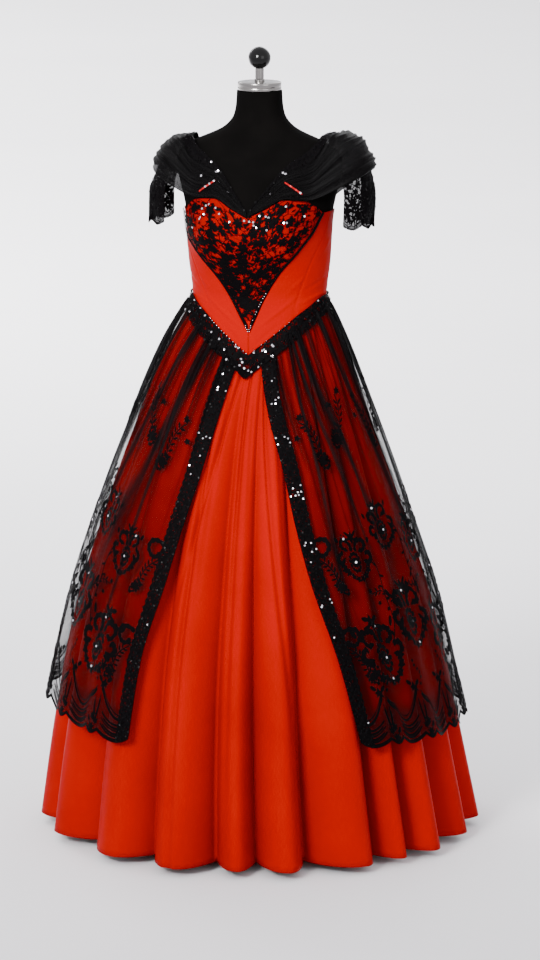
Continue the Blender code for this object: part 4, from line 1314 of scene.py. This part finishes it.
def scatter(seed, count, keep_in):
    """Places spread evenly over a patch, at random but never bunched; keep_in says which are in."""
    chance = random.Random(seed)
    spots = []
    for _ in range(count):
        best = None
        furthest = -1.0
        for _ in range(10):
            u, v = chance.random(), chance.random()
            if not keep_in(u, v):
                continue
            gap = min(((u - a) ** 2 + (v - b) ** 2 for a, b in spots), default=1.0)
            if gap > furthest:
                furthest = gap
                best = (u, v)
        if best:
            spots.append(best)
    return spots


def heart_motifs(patch):
    """Black flowers, leaves and stems of the heart panel's lace."""
    work = Stitching(patch)
    chance = random.Random(11)
    levels = np.linspace(0.0, 1.0, len(patch.widths))
    top = patch.widths.max()

    def wide(v):
        return float(np.interp(v, levels, patch.widths))

    def inside(u, v):
        return chance.random() < wide(v) / top and 0.02 < u < 0.98 and 0.03 < v < 0.98

    for u, v in scatter(5, HEART_FLOWERS, inside):
        size = min(chance.uniform(0.0070, 0.0125), wide(v) * 0.26)
        petals = chance.choice((5, 6, 7))
        turn = chance.uniform(0.0, 2.0)
        flower(work, u, v, size, petals, turn)
        up = patch.scale(u, v)[1]
        for k in range(chance.choice((2, 3, 3))):
            angle = turn + 2.1 * k
            x, y = 1.45 * size * math.cos(angle), 1.45 * size * math.sin(angle)
            work.fan(u + x / wide(v), v + y / up, leaf_outline(size * 1.2, size * 0.55, angle))
    for u, v in scatter(6, HEART_LEAVES, inside):
        turn = chance.uniform(0.0, math.tau)
        work.fan(u, v, leaf_outline(chance.uniform(0.006, 0.010), chance.uniform(0.003, 0.0045), turn))
    for u, v in scatter(7, HEART_SCROLLS, inside):
        start = chance.uniform(0.0, math.tau)
        way = chance.choice((-1, 1))
        path = scroll_path(0.0, 0.0, chance.uniform(0.006, 0.011), start, 0.55, way, 8)
        work.ribbon(offset_path(work, u, v, path), 0.0015)
    return stitched("heart_lace_flowers", work)


def make_bodice():
    """Heart panel with its lace and piping, side fronts and backs."""

    def heart(u, v):
        return heart_point(2.0 * u - 1.0, v, BODICE_OUT)

    panel = creased(fine_patch(heart, 64, 60), HEART_CREASES)
    dress("heart_panel_satin", "heart_panel", panel, "satin")

    def lace(u, v):
        rise = mix(HEART_LACE_START, 1.0, v)
        left, right = heart_inside(-1, rise), heart_inside(1, rise)
        return heart_point(mix(-left, right, u), rise, LACE_OUT)

    ground = fine_patch(lace, 60, 60)
    flowers = heart_motifs(ground)
    glints = sequins("heart_sequins", ground, HEART_GLINT_SEQUINS, 0.0012, SEQUIN_RADIUS, 0.35, "bright", 3)
    dress("heart_lace_net", "heart_lace", ground, "heart_net")

    for side, word in SIDES:
        def piping(u, v):
            out = LACE_OUT + 0.0012 * math.sin(math.pi * u)
            return heart_point(side * mix(heart_inside(side, v), 1.0, u), v, out)

        strip = fine_patch(piping, 8, 200)
        row = [(0.5, v) for v in np.linspace(0.01, 0.99, 110)]
        row_of_beads = bead_row("heart_beads_" + word, strip, row, 0.0, 0.0010, "bead")
        # Painted glints: pale silver beads at the piping's tip, and more down the right piping.
        tip = [(0.5, 0.004), (0.4, 0.020), (0.6, 0.036), (0.5, 0.052)]
        if side > 0:
            tip += [(0.5, v) for v in (0.10, 0.15, 0.17, 0.215, 0.235, 0.255, 0.29, 0.31, 0.335)]
        sparkle = bead_row("heart_glints_" + word, strip, tip, 0.0010, 0.0013, "bright")
        dress("heart_piping_cord_" + word, "heart_piping_" + word, strip, "thread")

        def front(u, v):
            return side_front_point(side, u, v, BODICE_OUT)

        panel = creased(fine_patch(front, 60, 80), SIDE_FRONT_CREASES)
        dress("side_front_satin_" + word, "side_front_" + word, panel, "satin")

        def back(u, v):
            return back_point(side, u, v, BODICE_OUT)

        panel = creased(fine_patch(back, 64, 70), BACK_CREASES)
        dress("back_satin_" + word, "back_" + word, panel, "satin")


def sleeve_patch(side):
    """Draped sleeve with its fine folds, which run from the centre front to the back."""
    rows = sleeve_rows(side)
    if side < 0:
        rows = [list(reversed(row)) for row in rows]
    patch = Patch(refined(rows, FINE))
    row_count, column_count = patch.points.shape[:2]
    us, vs = grid(column_count, row_count)
    height = np.zeros_like(us)
    for k in range(FINE_FOLDS):
        sway = FINE_FOLD_SWAY * np.sin(4.0 * math.pi * us + 1.7 * k + side)
        line = FINE_FOLD_FIRST + FINE_FOLD_STEP * k + sway
        size = FINE_FOLD_HEIGHT * (0.45 + 0.55 * math.sin(2.4 * k + 1.0 + side) ** 2)
        height += size * np.sin(math.pi * us) ** 0.6 * np.exp(-((vs - line) / FINE_FOLD_WIDTH) ** 2)
    return patch.moved(height)


def make_sleeves():
    """Draped tulle, lace caps, neckline trim and the short red strips."""
    for side, word in SIDES:
        patch = sleeve_patch(side)
        # Painted glints: a few pale silver sequins on the draped sleeve.
        spots = [(0.10, 0.55), (0.16, 0.78), (0.14, 0.62), (0.22, 0.50)]
        glints = sequins("sleeve_sequins_" + word, patch, spots[:2 if side > 0 else 4], 0.0012,
                         0.0026, 0.25, "bright", 8, "black_tulle")

        def strip(u, v):
            start, end = STRIP_ENDS
            along = 0.04 + 0.74 * u
            angle = math.radians(mix(start[0], end[0], along))
            height = mix(start[1], end[1], along) - 0.004 * u + STRIP_WIDTH * (0.30 + 0.44 * v)
            return torso(side * angle, height, STRIP_OUT)

        braid = fine_patch(strip, 30, 4)
        colour = FINISH["satin" if side < 0 else "ruby"]
        item = cloth("bust_strip_braid_" + word, braid, colour)
        extras = [glints, keep(item, "red_satin", "bust_strip_" + word)]
        row = [(u, 0.5) for u in np.linspace(0.04, 0.96, 15)]
        extras.append(sequins("bust_strip_sequins_" + word, braid, row, 0.0006,
                              0.0018, 0.3, "ruby", 4, "red_satin"))
        # Painted glints: pale silver sequins on the strip.
        row = row[0:9:4] if side < 0 else row[13:14]
        extras.append(sequins("bust_strip_glints_" + word, braid, row, 0.0016,
                              0.0020, 0.2, "bright", 5, "red_satin"))
        dress("sleeve_tulle_drape_" + word, "sleeve_tulle_" + word, patch, "sleeve_tulle")
        make_neck_trim(side, word, patch)
        make_cap_lace(side, word)


def make_neck_trim(side, word, sleeve):
    """Scalloped trim along the neckline, with sequins."""
    us, vs = grid(420, 9)
    low = 1.0 - TRIM_SHARE - 0.045 * np.abs(np.sin(math.pi * TRIM_SCALLOPS * us))
    waves = np.abs(np.sin(math.pi * TRIM_SCALLOPS * us + 0.8))
    high = 1.0 + 0.035 * waves * np.sin(math.pi * us) ** 0.3
    patch = part_of(sleeve, us, low * (1.0 - vs) + high * vs, LACE + TRIM_GAP)
    spots = [(u, 0.35 + 0.3 * (k % 2)) for k, u in middles(TRIM_SEQUINS)]
    dark = sequins("neck_trim_sequins_" + word, patch, spots, 0.0010, SEQUIN_RADIUS, 0.35, "dark", 12)
    # Painted glints: pale silver sequins on the trim.
    spots = [(0.150, 0.4), (0.185, 0.6)][:2 if side < 0 else 1]
    bright = sequins("neck_trim_glints_" + word, patch, spots, 0.0014, SEQUIN_RADIUS, 0.3, "bright", 13)
    work = Stitching(patch)
    for k, u in middles(TRIM_FLOWERS):
        flower(work, u, 0.5, 0.0046, 5, 0.6 * k)
    petals = stitched("neck_trim_flowers_" + word, work)
    dress("neck_trim_lace_" + word, "neck_trim_" + word, patch, "band_lace")


def make_cap_lace(side, word):
    """Lace cap below the draped tulle, with a scalloped double edge."""

    def edge(u):
        wave = abs(math.sin(math.pi * CAP_SCALLOPS * u))
        small = abs(math.sin(math.pi * CAP_SCALLOPS * CAP_SMALL_SCALLOPS * u))
        return 1.0 + CAP_SCALLOP * wave + CAP_SMALL_SCALLOP * small

    def cap(u, v):
        swing = mix(-CAP_LACE_FRONT, CAP_LACE_BACK, u)
        top = drape_end(swing) - CAP_LACE_OVERLAP
        along = mix(edge(u), top, v)
        point = cap_point(side, swing, min(along, 1.0))
        point.z -= max(along - 1.0, 0.0) * CAP_DROP
        return point

    patch = fine_patch(cap, 150, 60).moved(-CAP_LACE_INSET)
    us, vs = grid(151, 61)
    patch = patch.moved(CAP_WAVE * np.sin(math.pi * 2.0 * CAP_SCALLOPS * us) * (1.0 - vs) ** 2)
    work = Stitching(patch)
    columns = np.linspace(0.004, 0.996, 240)
    for v, width in CAP_LINES:
        work.ribbon([(u, v) for u in columns], width)
    for k, u in middles(CAP_BARS):
        work.ribbon([(u, 0.025), (u, 0.100)], 0.0012)
    chance = random.Random(31 + side)
    for k, u in middles(CAP_BIG_FLOWERS):
        v = 0.30 + 0.18 * (k % 2)
        flower(work, u, v, 0.0105, 6, 0.5 * k)
        for turn in (0.5, 1.7, 2.7, 3.9, 5.2):
            place = offset_path(work, u, v, [(0.0125 * math.cos(turn), 0.0125 * math.sin(turn))])[0]
            work.fan(*place, leaf_outline(0.013, 0.0056, turn))
        path = scroll_path(0.0, 0.0, 0.019, chance.uniform(0.0, 6.0), 0.45, 1 - 2 * (k % 2), 10)
        work.ribbon(offset_path(work, u, v, path), 0.0020)
    for k, u in middles(CAP_SMALL_FLOWERS):
        work.fan(u, 0.19 + 0.04 * (k % 2), petal_outline(0.0042, 5, 0.3, k))
        flower(work, u, 0.62 + 0.10 * (k % 3), 0.0072, 5, k)
    motifs = stitched("sleeve_lace_flowers_" + word, work)
    dress("sleeve_lace_net_" + word, "sleeve_lace_" + word, patch, "cap_net")


def trough_height(troughs, degrees, drop):
    """Depth of the soft troughs at an angle in degrees and a drop, as a height below 0."""
    height = 0.0
    for trough in troughs:
        share = (drop - trough.top) / (trough.low - trough.top)
        if 0.0 < share < 1.0:
            off = (degrees - trough.angle - trough.lean * share) / trough.width
            if abs(off) < 3.0:
                height -= trough.depth * math.sin(math.pi * share ** 0.6) ** 0.8 * math.exp(-off * off)
    return height


def all_troughs():
    """The front's troughs, and like ones all round."""
    chance = random.Random(77)
    rows = []
    for k in range(ROUND_TROUGHS):
        angle = mix(50.0, 310.0, (k + chance.uniform(0.2, 0.8)) / ROUND_TROUGHS)
        angle = angle - 360.0 if angle > 180.0 else angle
        low = chance.uniform(0.30, 0.75)
        depth = chance.uniform(0.0030, 0.0050)
        lean = chance.uniform(-2.0, 2.0)
        rows.append((angle, 0.0, low, lean, depth, chance.uniform(1.2, 2.0)))
    return FRONT_TROUGHS + table(TROUGH_FIELDS, *rows)


def make_skirt():
    """Satin skirt panels."""
    troughs = all_troughs()
    valleys = [fold.valley for fold in FOLDS]
    for name, first, last in SKIRT_PANELS:
        def place(u, v):
            degrees = mix(first, last, u)
            drop = 1.0 - v
            off = min(abs(degrees - valley) for valley in valleys)
            crease = -VALLEY_DEPTH * min(drop / 0.3, 1.0) * math.exp(-(off / VALLEY_WIDTH) ** 2)
            out = crease + trough_height(troughs, degrees, drop)
            point = skirt_point(math.radians(degrees), drop, out)
            if v == 1.0:
                point.z -= SKIRT_SEAM_GAP
            return point

        patch = fine_patch(place, round((last - first) * 1.8), 84)
        dress(name + "_satin", name, patch, "satin")


def tuck_grids(side, us, vs):
    """Heights of the small tucks at the gathered waist, and the tulle's cover there: denser gathered
    thread plus painted shade in streaks beside the tucks and along the long folds.
    """
    chance = random.Random(40 + side)
    height = np.zeros_like(us)
    close = np.zeros_like(us)
    drop = 1.0 - vs
    for k in range(TUCKS):
        middle = mix(*TUCK_RANGE, (k + chance.uniform(0.25, 0.75)) / TUCKS)
        low = chance.choice(TUCK_DROPS)
        size = chance.uniform(0.35, 1.0)
        lean = chance.uniform(-0.012, 0.012)
        share = np.clip(drop / low, 0.0, 1.0)
        shape = np.sin(math.pi * np.clip(share ** 0.55, 0.0, 1.0)) ** 0.7
        off = us - middle - lean * share
        height += TUCK_HEIGHT * size * shape * np.exp(-(off / TUCK_WIDTH) ** 2)
        fade = (1.0 - share) ** 0.6
        broad = TUCK_SHADE * (0.45 + 0.55 * size) * (0.55 + 0.45 * (1.0 - share))
        # Painted shade: a dark streak of cover just beside each tuck's ridge.
        close += 0.85 * size * fade * np.exp(-((off - 0.0050) / broad) ** 2)
    long_folds = LONG_FOLDS_LEFT if side < 0 else LONG_FOLDS_RIGHT
    for start, end, low, width in long_folds:
        share = np.clip(drop / low, 0.0, 1.0)
        off = us - start - (end - start) * share
        fade = (1.0 - share) ** 0.5
        # Painted shade: dark cover along each long fold, next to its low ridge.
        close += 0.80 * fade * np.exp(-(off / width) ** 2)
        height += LONG_FOLD_HEIGHT * fade * np.exp(-((off - width) / width) ** 2)
    # Thinner cover towards the waist.
    close -= 0.05 + 0.20 * np.clip(1.0 - drop / 0.6, 0.0, 1.0)
    border = np.clip((BORDER_TOP - vs) / BORDER_FADE, 0.0, 1.0)
    return height, np.clip(close, *COVER_SHADE_RANGE) + BORDER_CLOSE * border


def swag(work, start, end, low, high, width, steps=20):
    """Hanging line between two places along the hem."""
    path = []
    for k in range(steps + 1):
        t = k / steps
        path.append((mix(start, end, t), high - (high - low) * math.sin(math.pi * t) ** 0.8))
    work.ribbon(path, width)
    return path


def hem_border(work):
    """Scalloped border with nested swags, rows of beads and small flowers at the peaks."""
    up = work.patch.scale(0.5, 0.1)[1]
    step = 1.0 / SCALLOPS_PER_SIDE
    work.ribbon([(mix(0.001, 0.999, share), 0.0028 / up) for share in shares(900)], 0.0100)
    for k in range(SCALLOPS_PER_SIDE):
        start = k * step
        big_end = start + BIG_SHARE * step
        end = start + step
        for lift, width in NESTED_SWAGS:
            swag(work, start + 0.004, big_end - 0.004, lift / up, (lift + 0.010) / up, width)
        for lift in LEAF_ROWS:
            path = swag(work, start + 0.008, big_end - 0.008,
                        lift / up, (lift + 0.008) / up, 0.0006, 14)
            for u, v in path[1:-1]:
                work.fan(u, v, leaf_outline(0.0085, 0.0048, 0.5))
        for ends, rows in zip(((start - 0.016, big_end + 0.004), (big_end + 0.004, end - 0.016)),
                              HANGING_SWAGS):
            for low, high, width in rows:
                swag(work, *ends, low / up, high / up, width)
        middle = mix(big_end, end, 0.5)
        for offset, lift, size, petals, turn in PEAK_FLOWERS:
            flower(work, middle + offset, lift / up, size, petals, turn)
        flower(work, big_end + 0.002, 0.102 / up, 0.0110, 6, 0.2)
        for reach, angle in ((-0.008, 2.2), (0.012, 0.9)):
            work.fan(big_end + reach, 0.116 / up, leaf_outline(0.018, 0.0075, angle))
        for m in range(6):
            u = start - 0.010 + 0.006 * math.sin(m)
            work.fan(u, (0.112 + 0.010 * m) / up, petal_outline(0.0038, 5, 0.2, m))


def placer(work, u, v, size, turn):
    """Function from offsets to places round a motif's middle, at its size and turn."""
    across, up = work.patch.scale(u, v)

    def spot(x, y):
        x, y = size * x, size * y
        return (u + (x * math.cos(turn) - y * math.sin(turn)) / across,
                v + (x * math.sin(turn) + y * math.cos(turn)) / up)

    return spot


def medallion(work, u, v, size, turn):
    """Flower with scrolls above it and a chain of small flowers below."""
    spot = placer(work, u, v, size, turn)
    work.fan(u, v, petal_outline(0.0140 * size, 8, 0.20, turn))
    for k in range(12):
        angle = math.tau * k / 12
        x, y = 0.0160 * math.cos(angle), 0.0215 * math.sin(angle)
        work.fan(*spot(x, y), petal_outline(0.0056 * size, 5, 0.2, k))
    for k in range(-4, 5):
        angle = math.radians(21.0 * k)
        place = spot(0.041 * math.sin(angle), -0.004 - 0.038 * math.cos(angle))
        flower(work, *place, 0.0098 * size, 5, 0.4 * k)
    for way in (-1, 1):
        for x, y, radius, start, turns in MEDALLION_SCROLLS:
            path = scroll_path(0.0, 0.0, radius, start, turns, -1)
            places = [spot(way * (x + a), y + b) for a, b in path]
            work.ribbon(places, leafy_widths(len(places), 0.0122 * size))
    flower(work, *spot(0.0, 0.062), 0.0150 * size, 6, turn)
    for way in (-1, 1):
        for x, y, angle in MEDALLION_LEAVES:
            slant = angle if way > 0 else math.pi - angle
            work.fan(*spot(way * x, y), leaf_outline(0.018 * size, 0.0078 * size, slant))


def spray(work, u, v, size, turn):
    """Small branch with leaves, an oval flower and buds."""
    spot = placer(work, u, v, size, turn)
    stem = [spot(0.020 * math.sin(2.6 * t), 0.10 * t - 0.05) for t in shares(14)]
    work.ribbon(stem, 0.0026)
    for k in range(1, 13, 2):
        x, y = 0.020 * math.sin(2.6 * k / 14), 0.10 * k / 14 - 0.05
        for way in (-1, 1):
            place = spot(x + way * 0.0075, y + 0.004)
            angle = turn + (0.8 if way > 0 else math.pi - 0.8)
            work.fan(*place, leaf_outline(0.0150 * size, 0.0062 * size, angle))
    work.fan(*spot(0.004, -0.058), petal_outline(0.0130 * size, 7, 0.20, turn))
    for k in range(11):
        angle = math.tau * k / 11
        x, y = 0.004 + 0.0125 * math.cos(angle), -0.058 + 0.0190 * math.sin(angle)
        work.fan(*spot(x, y), petal_outline(0.0052 * size, 5, 0.25, k))
    flower(work, *spot(0.019, 0.056), 0.0100 * size, 6, turn)
    flower(work, *spot(-0.016, 0.020), 0.0084 * size, 5, turn)


def vine(work, start, end, bend, width=0.0024):
    """Thin curling stem between two places, with small leaves."""
    path = []
    for t in shares(24):
        sway = bend * math.sin(math.pi * t) + 0.25 * bend * math.sin(3.0 * math.pi * t)
        path.append((mix(start[0], end[0], t) + sway, mix(start[1], end[1], t)))
    work.ribbon(path, width)
    for k in range(2, 24, 3):
        u, v = path[k]
        work.fan(u + 0.004 * (1 if k % 2 else -1), v, leaf_outline(0.0120, 0.0056, 0.9 * k))


def embroidery(word, patch):
    """Embroidery of one half of the overskirt, with its beads and sequins."""
    work = Stitching(patch, 0.0004)
    hem_border(work)
    hearts = []
    for k in range(SPRAY_COLUMNS):
        u = SPRAY_FIRST + SPRAY_STEP * k
        odd = k % 2
        way = 1 - 2 * odd
        low, middle = MEDALLION_ROWS[odd]
        medallion(work, u, low, 1.12, 0.10 * way)
        medallion(work, u + 0.012, middle, 0.80, -0.16 * way)
        spray(work, u - 0.020, 0.735 + 0.035 * odd, 0.85, 0.35 * way)
        vine(work, (u + 0.040, low + 0.03), (u + 0.052, middle + 0.02), 0.018)
        hearts += [(u, low), (u + 0.012, middle), (u + 0.002, low - 0.050), (u - 0.004, low + 0.075),
                   (u - 0.006, middle + 0.055)]
        spray(work, u + 0.056, 0.335 + 0.03 * odd, 0.62, 1.2 * way)
    for v in (0.20, 0.42):
        spray(work, 0.046, v, 0.7, 0.5)
        scroll = scroll_path(0.0, 0.0, 0.022, 2.4, 0.9, -1)
        places = offset_path(work, 0.050, v + 0.06, scroll)
        work.ribbon(places, leafy_widths(len(places), 0.0105))
    item = stitched("overskirt_embroidery_" + word, work)
    # Painted glints: pale silver sequins at the embroidery's motifs.
    glints = sequins("overskirt_sequins_" + word, patch, hearts, 0.0030, 0.0024, 0.35, "bright", 17)
    ring = [(0.0075 * math.cos(k), 0.0075 * math.sin(k)) for k in range(6)]
    around = [place for u, v in hearts for place in offset_path(work, u, v, ring)]
    dark = sequins("overskirt_black_sequins_" + word, patch, around, 0.0022, 0.0020, 0.4, "dark", 18)
    return [item, glints, dark]


def make_overskirt():
    """Embroidered tulle overskirt with lace bands down its front edges."""
    for side, word in SIDES:
        def place(u, v):
            return over_point(side, u, 1.0 - v)

        patch = fine_patch(place, 480, 76)
        us, vs = grid(481, 77)
        # close holds the tulle's cover: denser gathered thread plus painted shade along the fold
        # valleys.
        height, close = tuck_grids(side, us, vs)
        patch = patch.moved(height)
        item = cloth("overskirt_tulle_" + word, patch, FINISH["over_tulle"], tulle_cover_with_shade=close)
        keep(item, "black_tulle", "overskirt_" + word)
        extras = embroidery(word, patch)
        sheet(patch)
        make_edge_band(side, word, patch)


def sequin_rows(seed, rows, columns, bright_share):
    """Places in uneven rows, parted into pale silver ones as painted glints and dark ones; bright_share
    is a function of u, v.
    """
    chance = random.Random(seed)
    bright = []
    dark = []
    for i in range(rows):
        v = (i + 0.5) / rows
        for j in range(columns):
            u = (j + 0.5 + 0.35 * (i % 2 - 0.5)) / columns + chance.uniform(-0.05, 0.05)
            spot = (u, v + chance.uniform(-0.3, 0.3) / rows)
            lit = chance.random() < bright_share(u, v)
            if lit:
                bright.append(spot)
            elif chance.random() < 0.6:
                dark.append(spot)
    return bright, dark


def clusters(v, count, turn):
    """Value from 0 to 1 that peaks at uneven clusters along v."""
    wave = math.sin(math.tau * count * v + turn)
    wave += 0.6 * math.sin(math.tau * count * 1.73 * v + 2.0 * turn)
    return min(max(wave - 0.35, 0.0), 1.0)


def make_edge_band(side, word, overskirt):
    """Lace band down one front edge, scalloped, with flowers and sequins."""
    rows = BAND_ROWS
    us, vs = grid(11, rows)
    heights = np.linspace(0.0, 0.985, rows)
    wide = np.array([band_share(side, 1.0 - v) for v in heights])[:, None]
    outer = -0.0022 * np.abs(np.sin(math.pi * BAND_OUTER_SCALLOPS * vs))
    inner = wide + 0.0030 * np.abs(np.sin(math.pi * BAND_INNER_SCALLOPS * vs))
    places = outer * (1.0 - us) + inner * us
    patch = part_of(overskirt, places, heights[:, None] * np.ones_like(us), BAND_OUT)
    work = Stitching(patch)
    for k, v in middles(BAND_FLOWERS):
        flower(work, 0.34 + 0.32 * (k % 2), v, 0.0072, 6, 0.7 * k)
        work.fan(0.80 - 0.60 * (k % 2), v, leaf_outline(0.0120, 0.0050, 0.9 + 0.5 * (k % 3)))
        work.fan(0.55, v + 0.004, leaf_outline(0.0080, 0.0036, 2.0 + k))
    lines = np.linspace(0.002, 0.998, 420)
    work.ribbon([(0.05, v) for v in lines], 0.0022)
    work.ribbon([(0.94, v) for v in lines], 0.0020)
    motifs = stitched("edge_band_flowers_" + word, work)

    # Painted glints: the share of pale silver sequins, in clusters where highlights fall.
    def lit_share(u, v):
        if side < 0:
            top = min(max((v - 0.62) / 0.10, 0.0), 1.0)
            return 0.006 + 0.50 * top * clusters(v, 9.0, 0.4) * (1.0 if u > 0.45 else 0.20)
        top = min(max((v - 0.25) / 0.12, 0.0), 1.0)
        return 0.008 + 0.36 * top * clusters(v, 8.0, 1.1)

    bright, dark = sequin_rows(50 + side, 120, 4, lit_share)
    lit = sequins("edge_band_glints_" + word, patch, bright, 0.0014, 0.0018, 0.38, "bright", 23)
    shade = sequins("edge_band_sequins_" + word, patch, dark, 0.0013, SEQUIN_RADIUS, 0.42, "dark", 24)
    dress("edge_band_lace_" + word, "edge_band_" + word, patch, "band_lace")


def waist_rows(side):
    """Rows of the waist band from its lower edge to its upper one."""
    rows = [[], [], [], []]
    for share in shares(WAIST_BAND_STEPS):
        angle = mix(CENTRE_GAP, math.pi - CENTRE_GAP, share)
        place = math.degrees(angle)
        top = read(WAIST, place, "band_top")
        seam = read(WAIST, place, "seam")
        low = read(WAIST, place, "band_low")
        rows[3].append(torso(side * angle, top, LACE_OUT))
        rows[2].append(torso(side * angle, seam + WAIST_BEND_RISE, BODICE_OUT + WAIST_BAND_OUT))
        rows[1].append(drape_point(side * angle, mix(seam, low, 0.5), WAIST_BAND_OUT))
        rows[0].append(drape_point(side * angle, low, WAIST_BAND_OUT + WAIST_BAND_FLARE))
    return rows


def make_waist_band():
    """Lace band along the V waist, with a beaded upper edge and a scalloped lower one."""
    for side, word in SIDES:
        whole = Patch(refined(waist_rows(side), 12))
        us, vs = grid(360, 17)
        low = 0.10 - 0.16 * np.abs(np.sin(math.pi * WAIST_SCALLOPS * us))
        patch = part_of(whole, us, low * (1.0 - vs) + 1.0 * vs)
        work = Stitching(patch)
        for k, u in middles(WAIST_FLOWERS):
            flower(work, u, 0.30 + 0.34 * (k % 2), 0.0070, 6, 0.9 * k)
            work.fan(u + 0.004, 0.72 - 0.40 * (k % 2), leaf_outline(0.0100, 0.0044, 0.8 * k))
        columns = np.linspace(0.002, 0.998, 300)
        for v in (0.965, 0.045):
            work.ribbon([(u, v) for u in columns], 0.0024)
        for rosette in WAIST_ROSETTES[word]:
            flower(work, *rosette)
        motifs = stitched("waist_band_flowers_" + word, work)
        # Painted glints: pale silver sequins near the centre front.
        bright, dark = sequin_rows(60 + side, 4, 64, lambda u, v: 0.40 if u < 0.11 else 0.030)
        lit = sequins("waist_band_glints_" + word, patch, bright, 0.0015, SEQUIN_RADIUS, 0.36,
                      "bright", 33)
        shade = sequins("waist_band_sequins_" + word, patch, dark, 0.0013, SEQUIN_RADIUS, 0.42,
                        "dark", 34)
        row = [(u, 0.97) for u in np.linspace(0.003, 0.997, 150)]
        edge = bead_row("waist_band_beads_" + word, patch, row, 0.0008, BEAD_RADIUS, "bead")
        # Painted glints: a row of pale silver beads, more and larger on the left.
        chance = random.Random(70 + side)
        stray, places = (0.002, (0.010, 0.20, 14)) if side < 0 else (0.004, (0.03, 0.19, 7))
        row = [(u + chance.uniform(-stray, stray), 1.00) for u in np.linspace(*places)]
        size = 0.0015 if side < 0 else 0.0011
        glow = bead_row("waist_band_bright_beads_" + word, patch, row, 0.0008, size, "bright")
        dress("waist_band_lace_" + word, "waist_band_" + word, patch, "waist_lace")


def make_camera():
    """Camera at the photograph's viewing angle."""
    data = bpy.data.cameras.new("camera")
    data.lens = CAMERA_LENS
    data.sensor_fit = "VERTICAL"
    data.sensor_width = SENSOR
    data.sensor_height = SENSOR
    data.clip_end = 100.0
    camera = bpy.data.objects.new("camera", data)
    away = (math.sin(CAMERA_TURN), -math.cos(CAMERA_TURN))
    camera.location = (CAMERA_DISTANCE * away[0], CAMERA_DISTANCE * away[1], CAMERA_HEIGHT)
    camera.rotation_euler = (QUARTER - CAMERA_PITCH, 0.0, CAMERA_TURN + CAMERA_YAW)
    bpy.context.scene.collection.objects.link(camera)
    bpy.context.scene.camera = camera


def add_light(name, place, target, size, power, spread_degrees):
    """Square area light that faces a point."""
    data = bpy.data.lights.new(name, "AREA")
    data.size = size
    data.energy = power
    data.spread = math.radians(spread_degrees)
    light = bpy.data.objects.new(name, data)
    light.location = place
    aim = Vector(target) - Vector(place)
    light.rotation_euler = aim.to_track_quat("-Z", "Y").to_euler()
    bpy.context.scene.collection.objects.link(light)


def make_studio():
    """Pale floor, pale surroundings and soft lights."""
    finish, tree, shader = principled("floor_pale", FLOOR_PALE, 0.60, shine=0.2)
    dusty = noise(tree, metres(tree, "Object"), 0.8)
    two_colours(tree, shader, spread(tree, dusty, 0.3, 0.7, 0.0, 1.0), FLOOR_PALE, FLOOR_DUSTY)
    size = FLOOR_HALF_SIZE
    points = [(-size, -size, 0.0), (size, -size, 0.0), (size, size, 0.0), (-size, size, 0.0)]
    floor = new_mesh("studio_floor", points, [(0, 1, 2, 3)], finish)
    world = bpy.data.worlds.new("studio")
    world.use_nodes = True
    background = world.node_tree.nodes["Background"]
    background.inputs["Color"].default_value = SKY_COLOUR
    background.inputs["Strength"].default_value = SKY_STRENGTH
    bpy.context.scene.world = world
    for light in LIGHTS:
        add_light(*light)


def main():
    """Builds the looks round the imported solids."""
    make_camera()
    make_studio()
    FINISH.update(make_finishes())
    make_form()
    make_bodice()
    make_sleeves()
    make_skirt()
    make_overskirt()
    make_waist_band()


main()
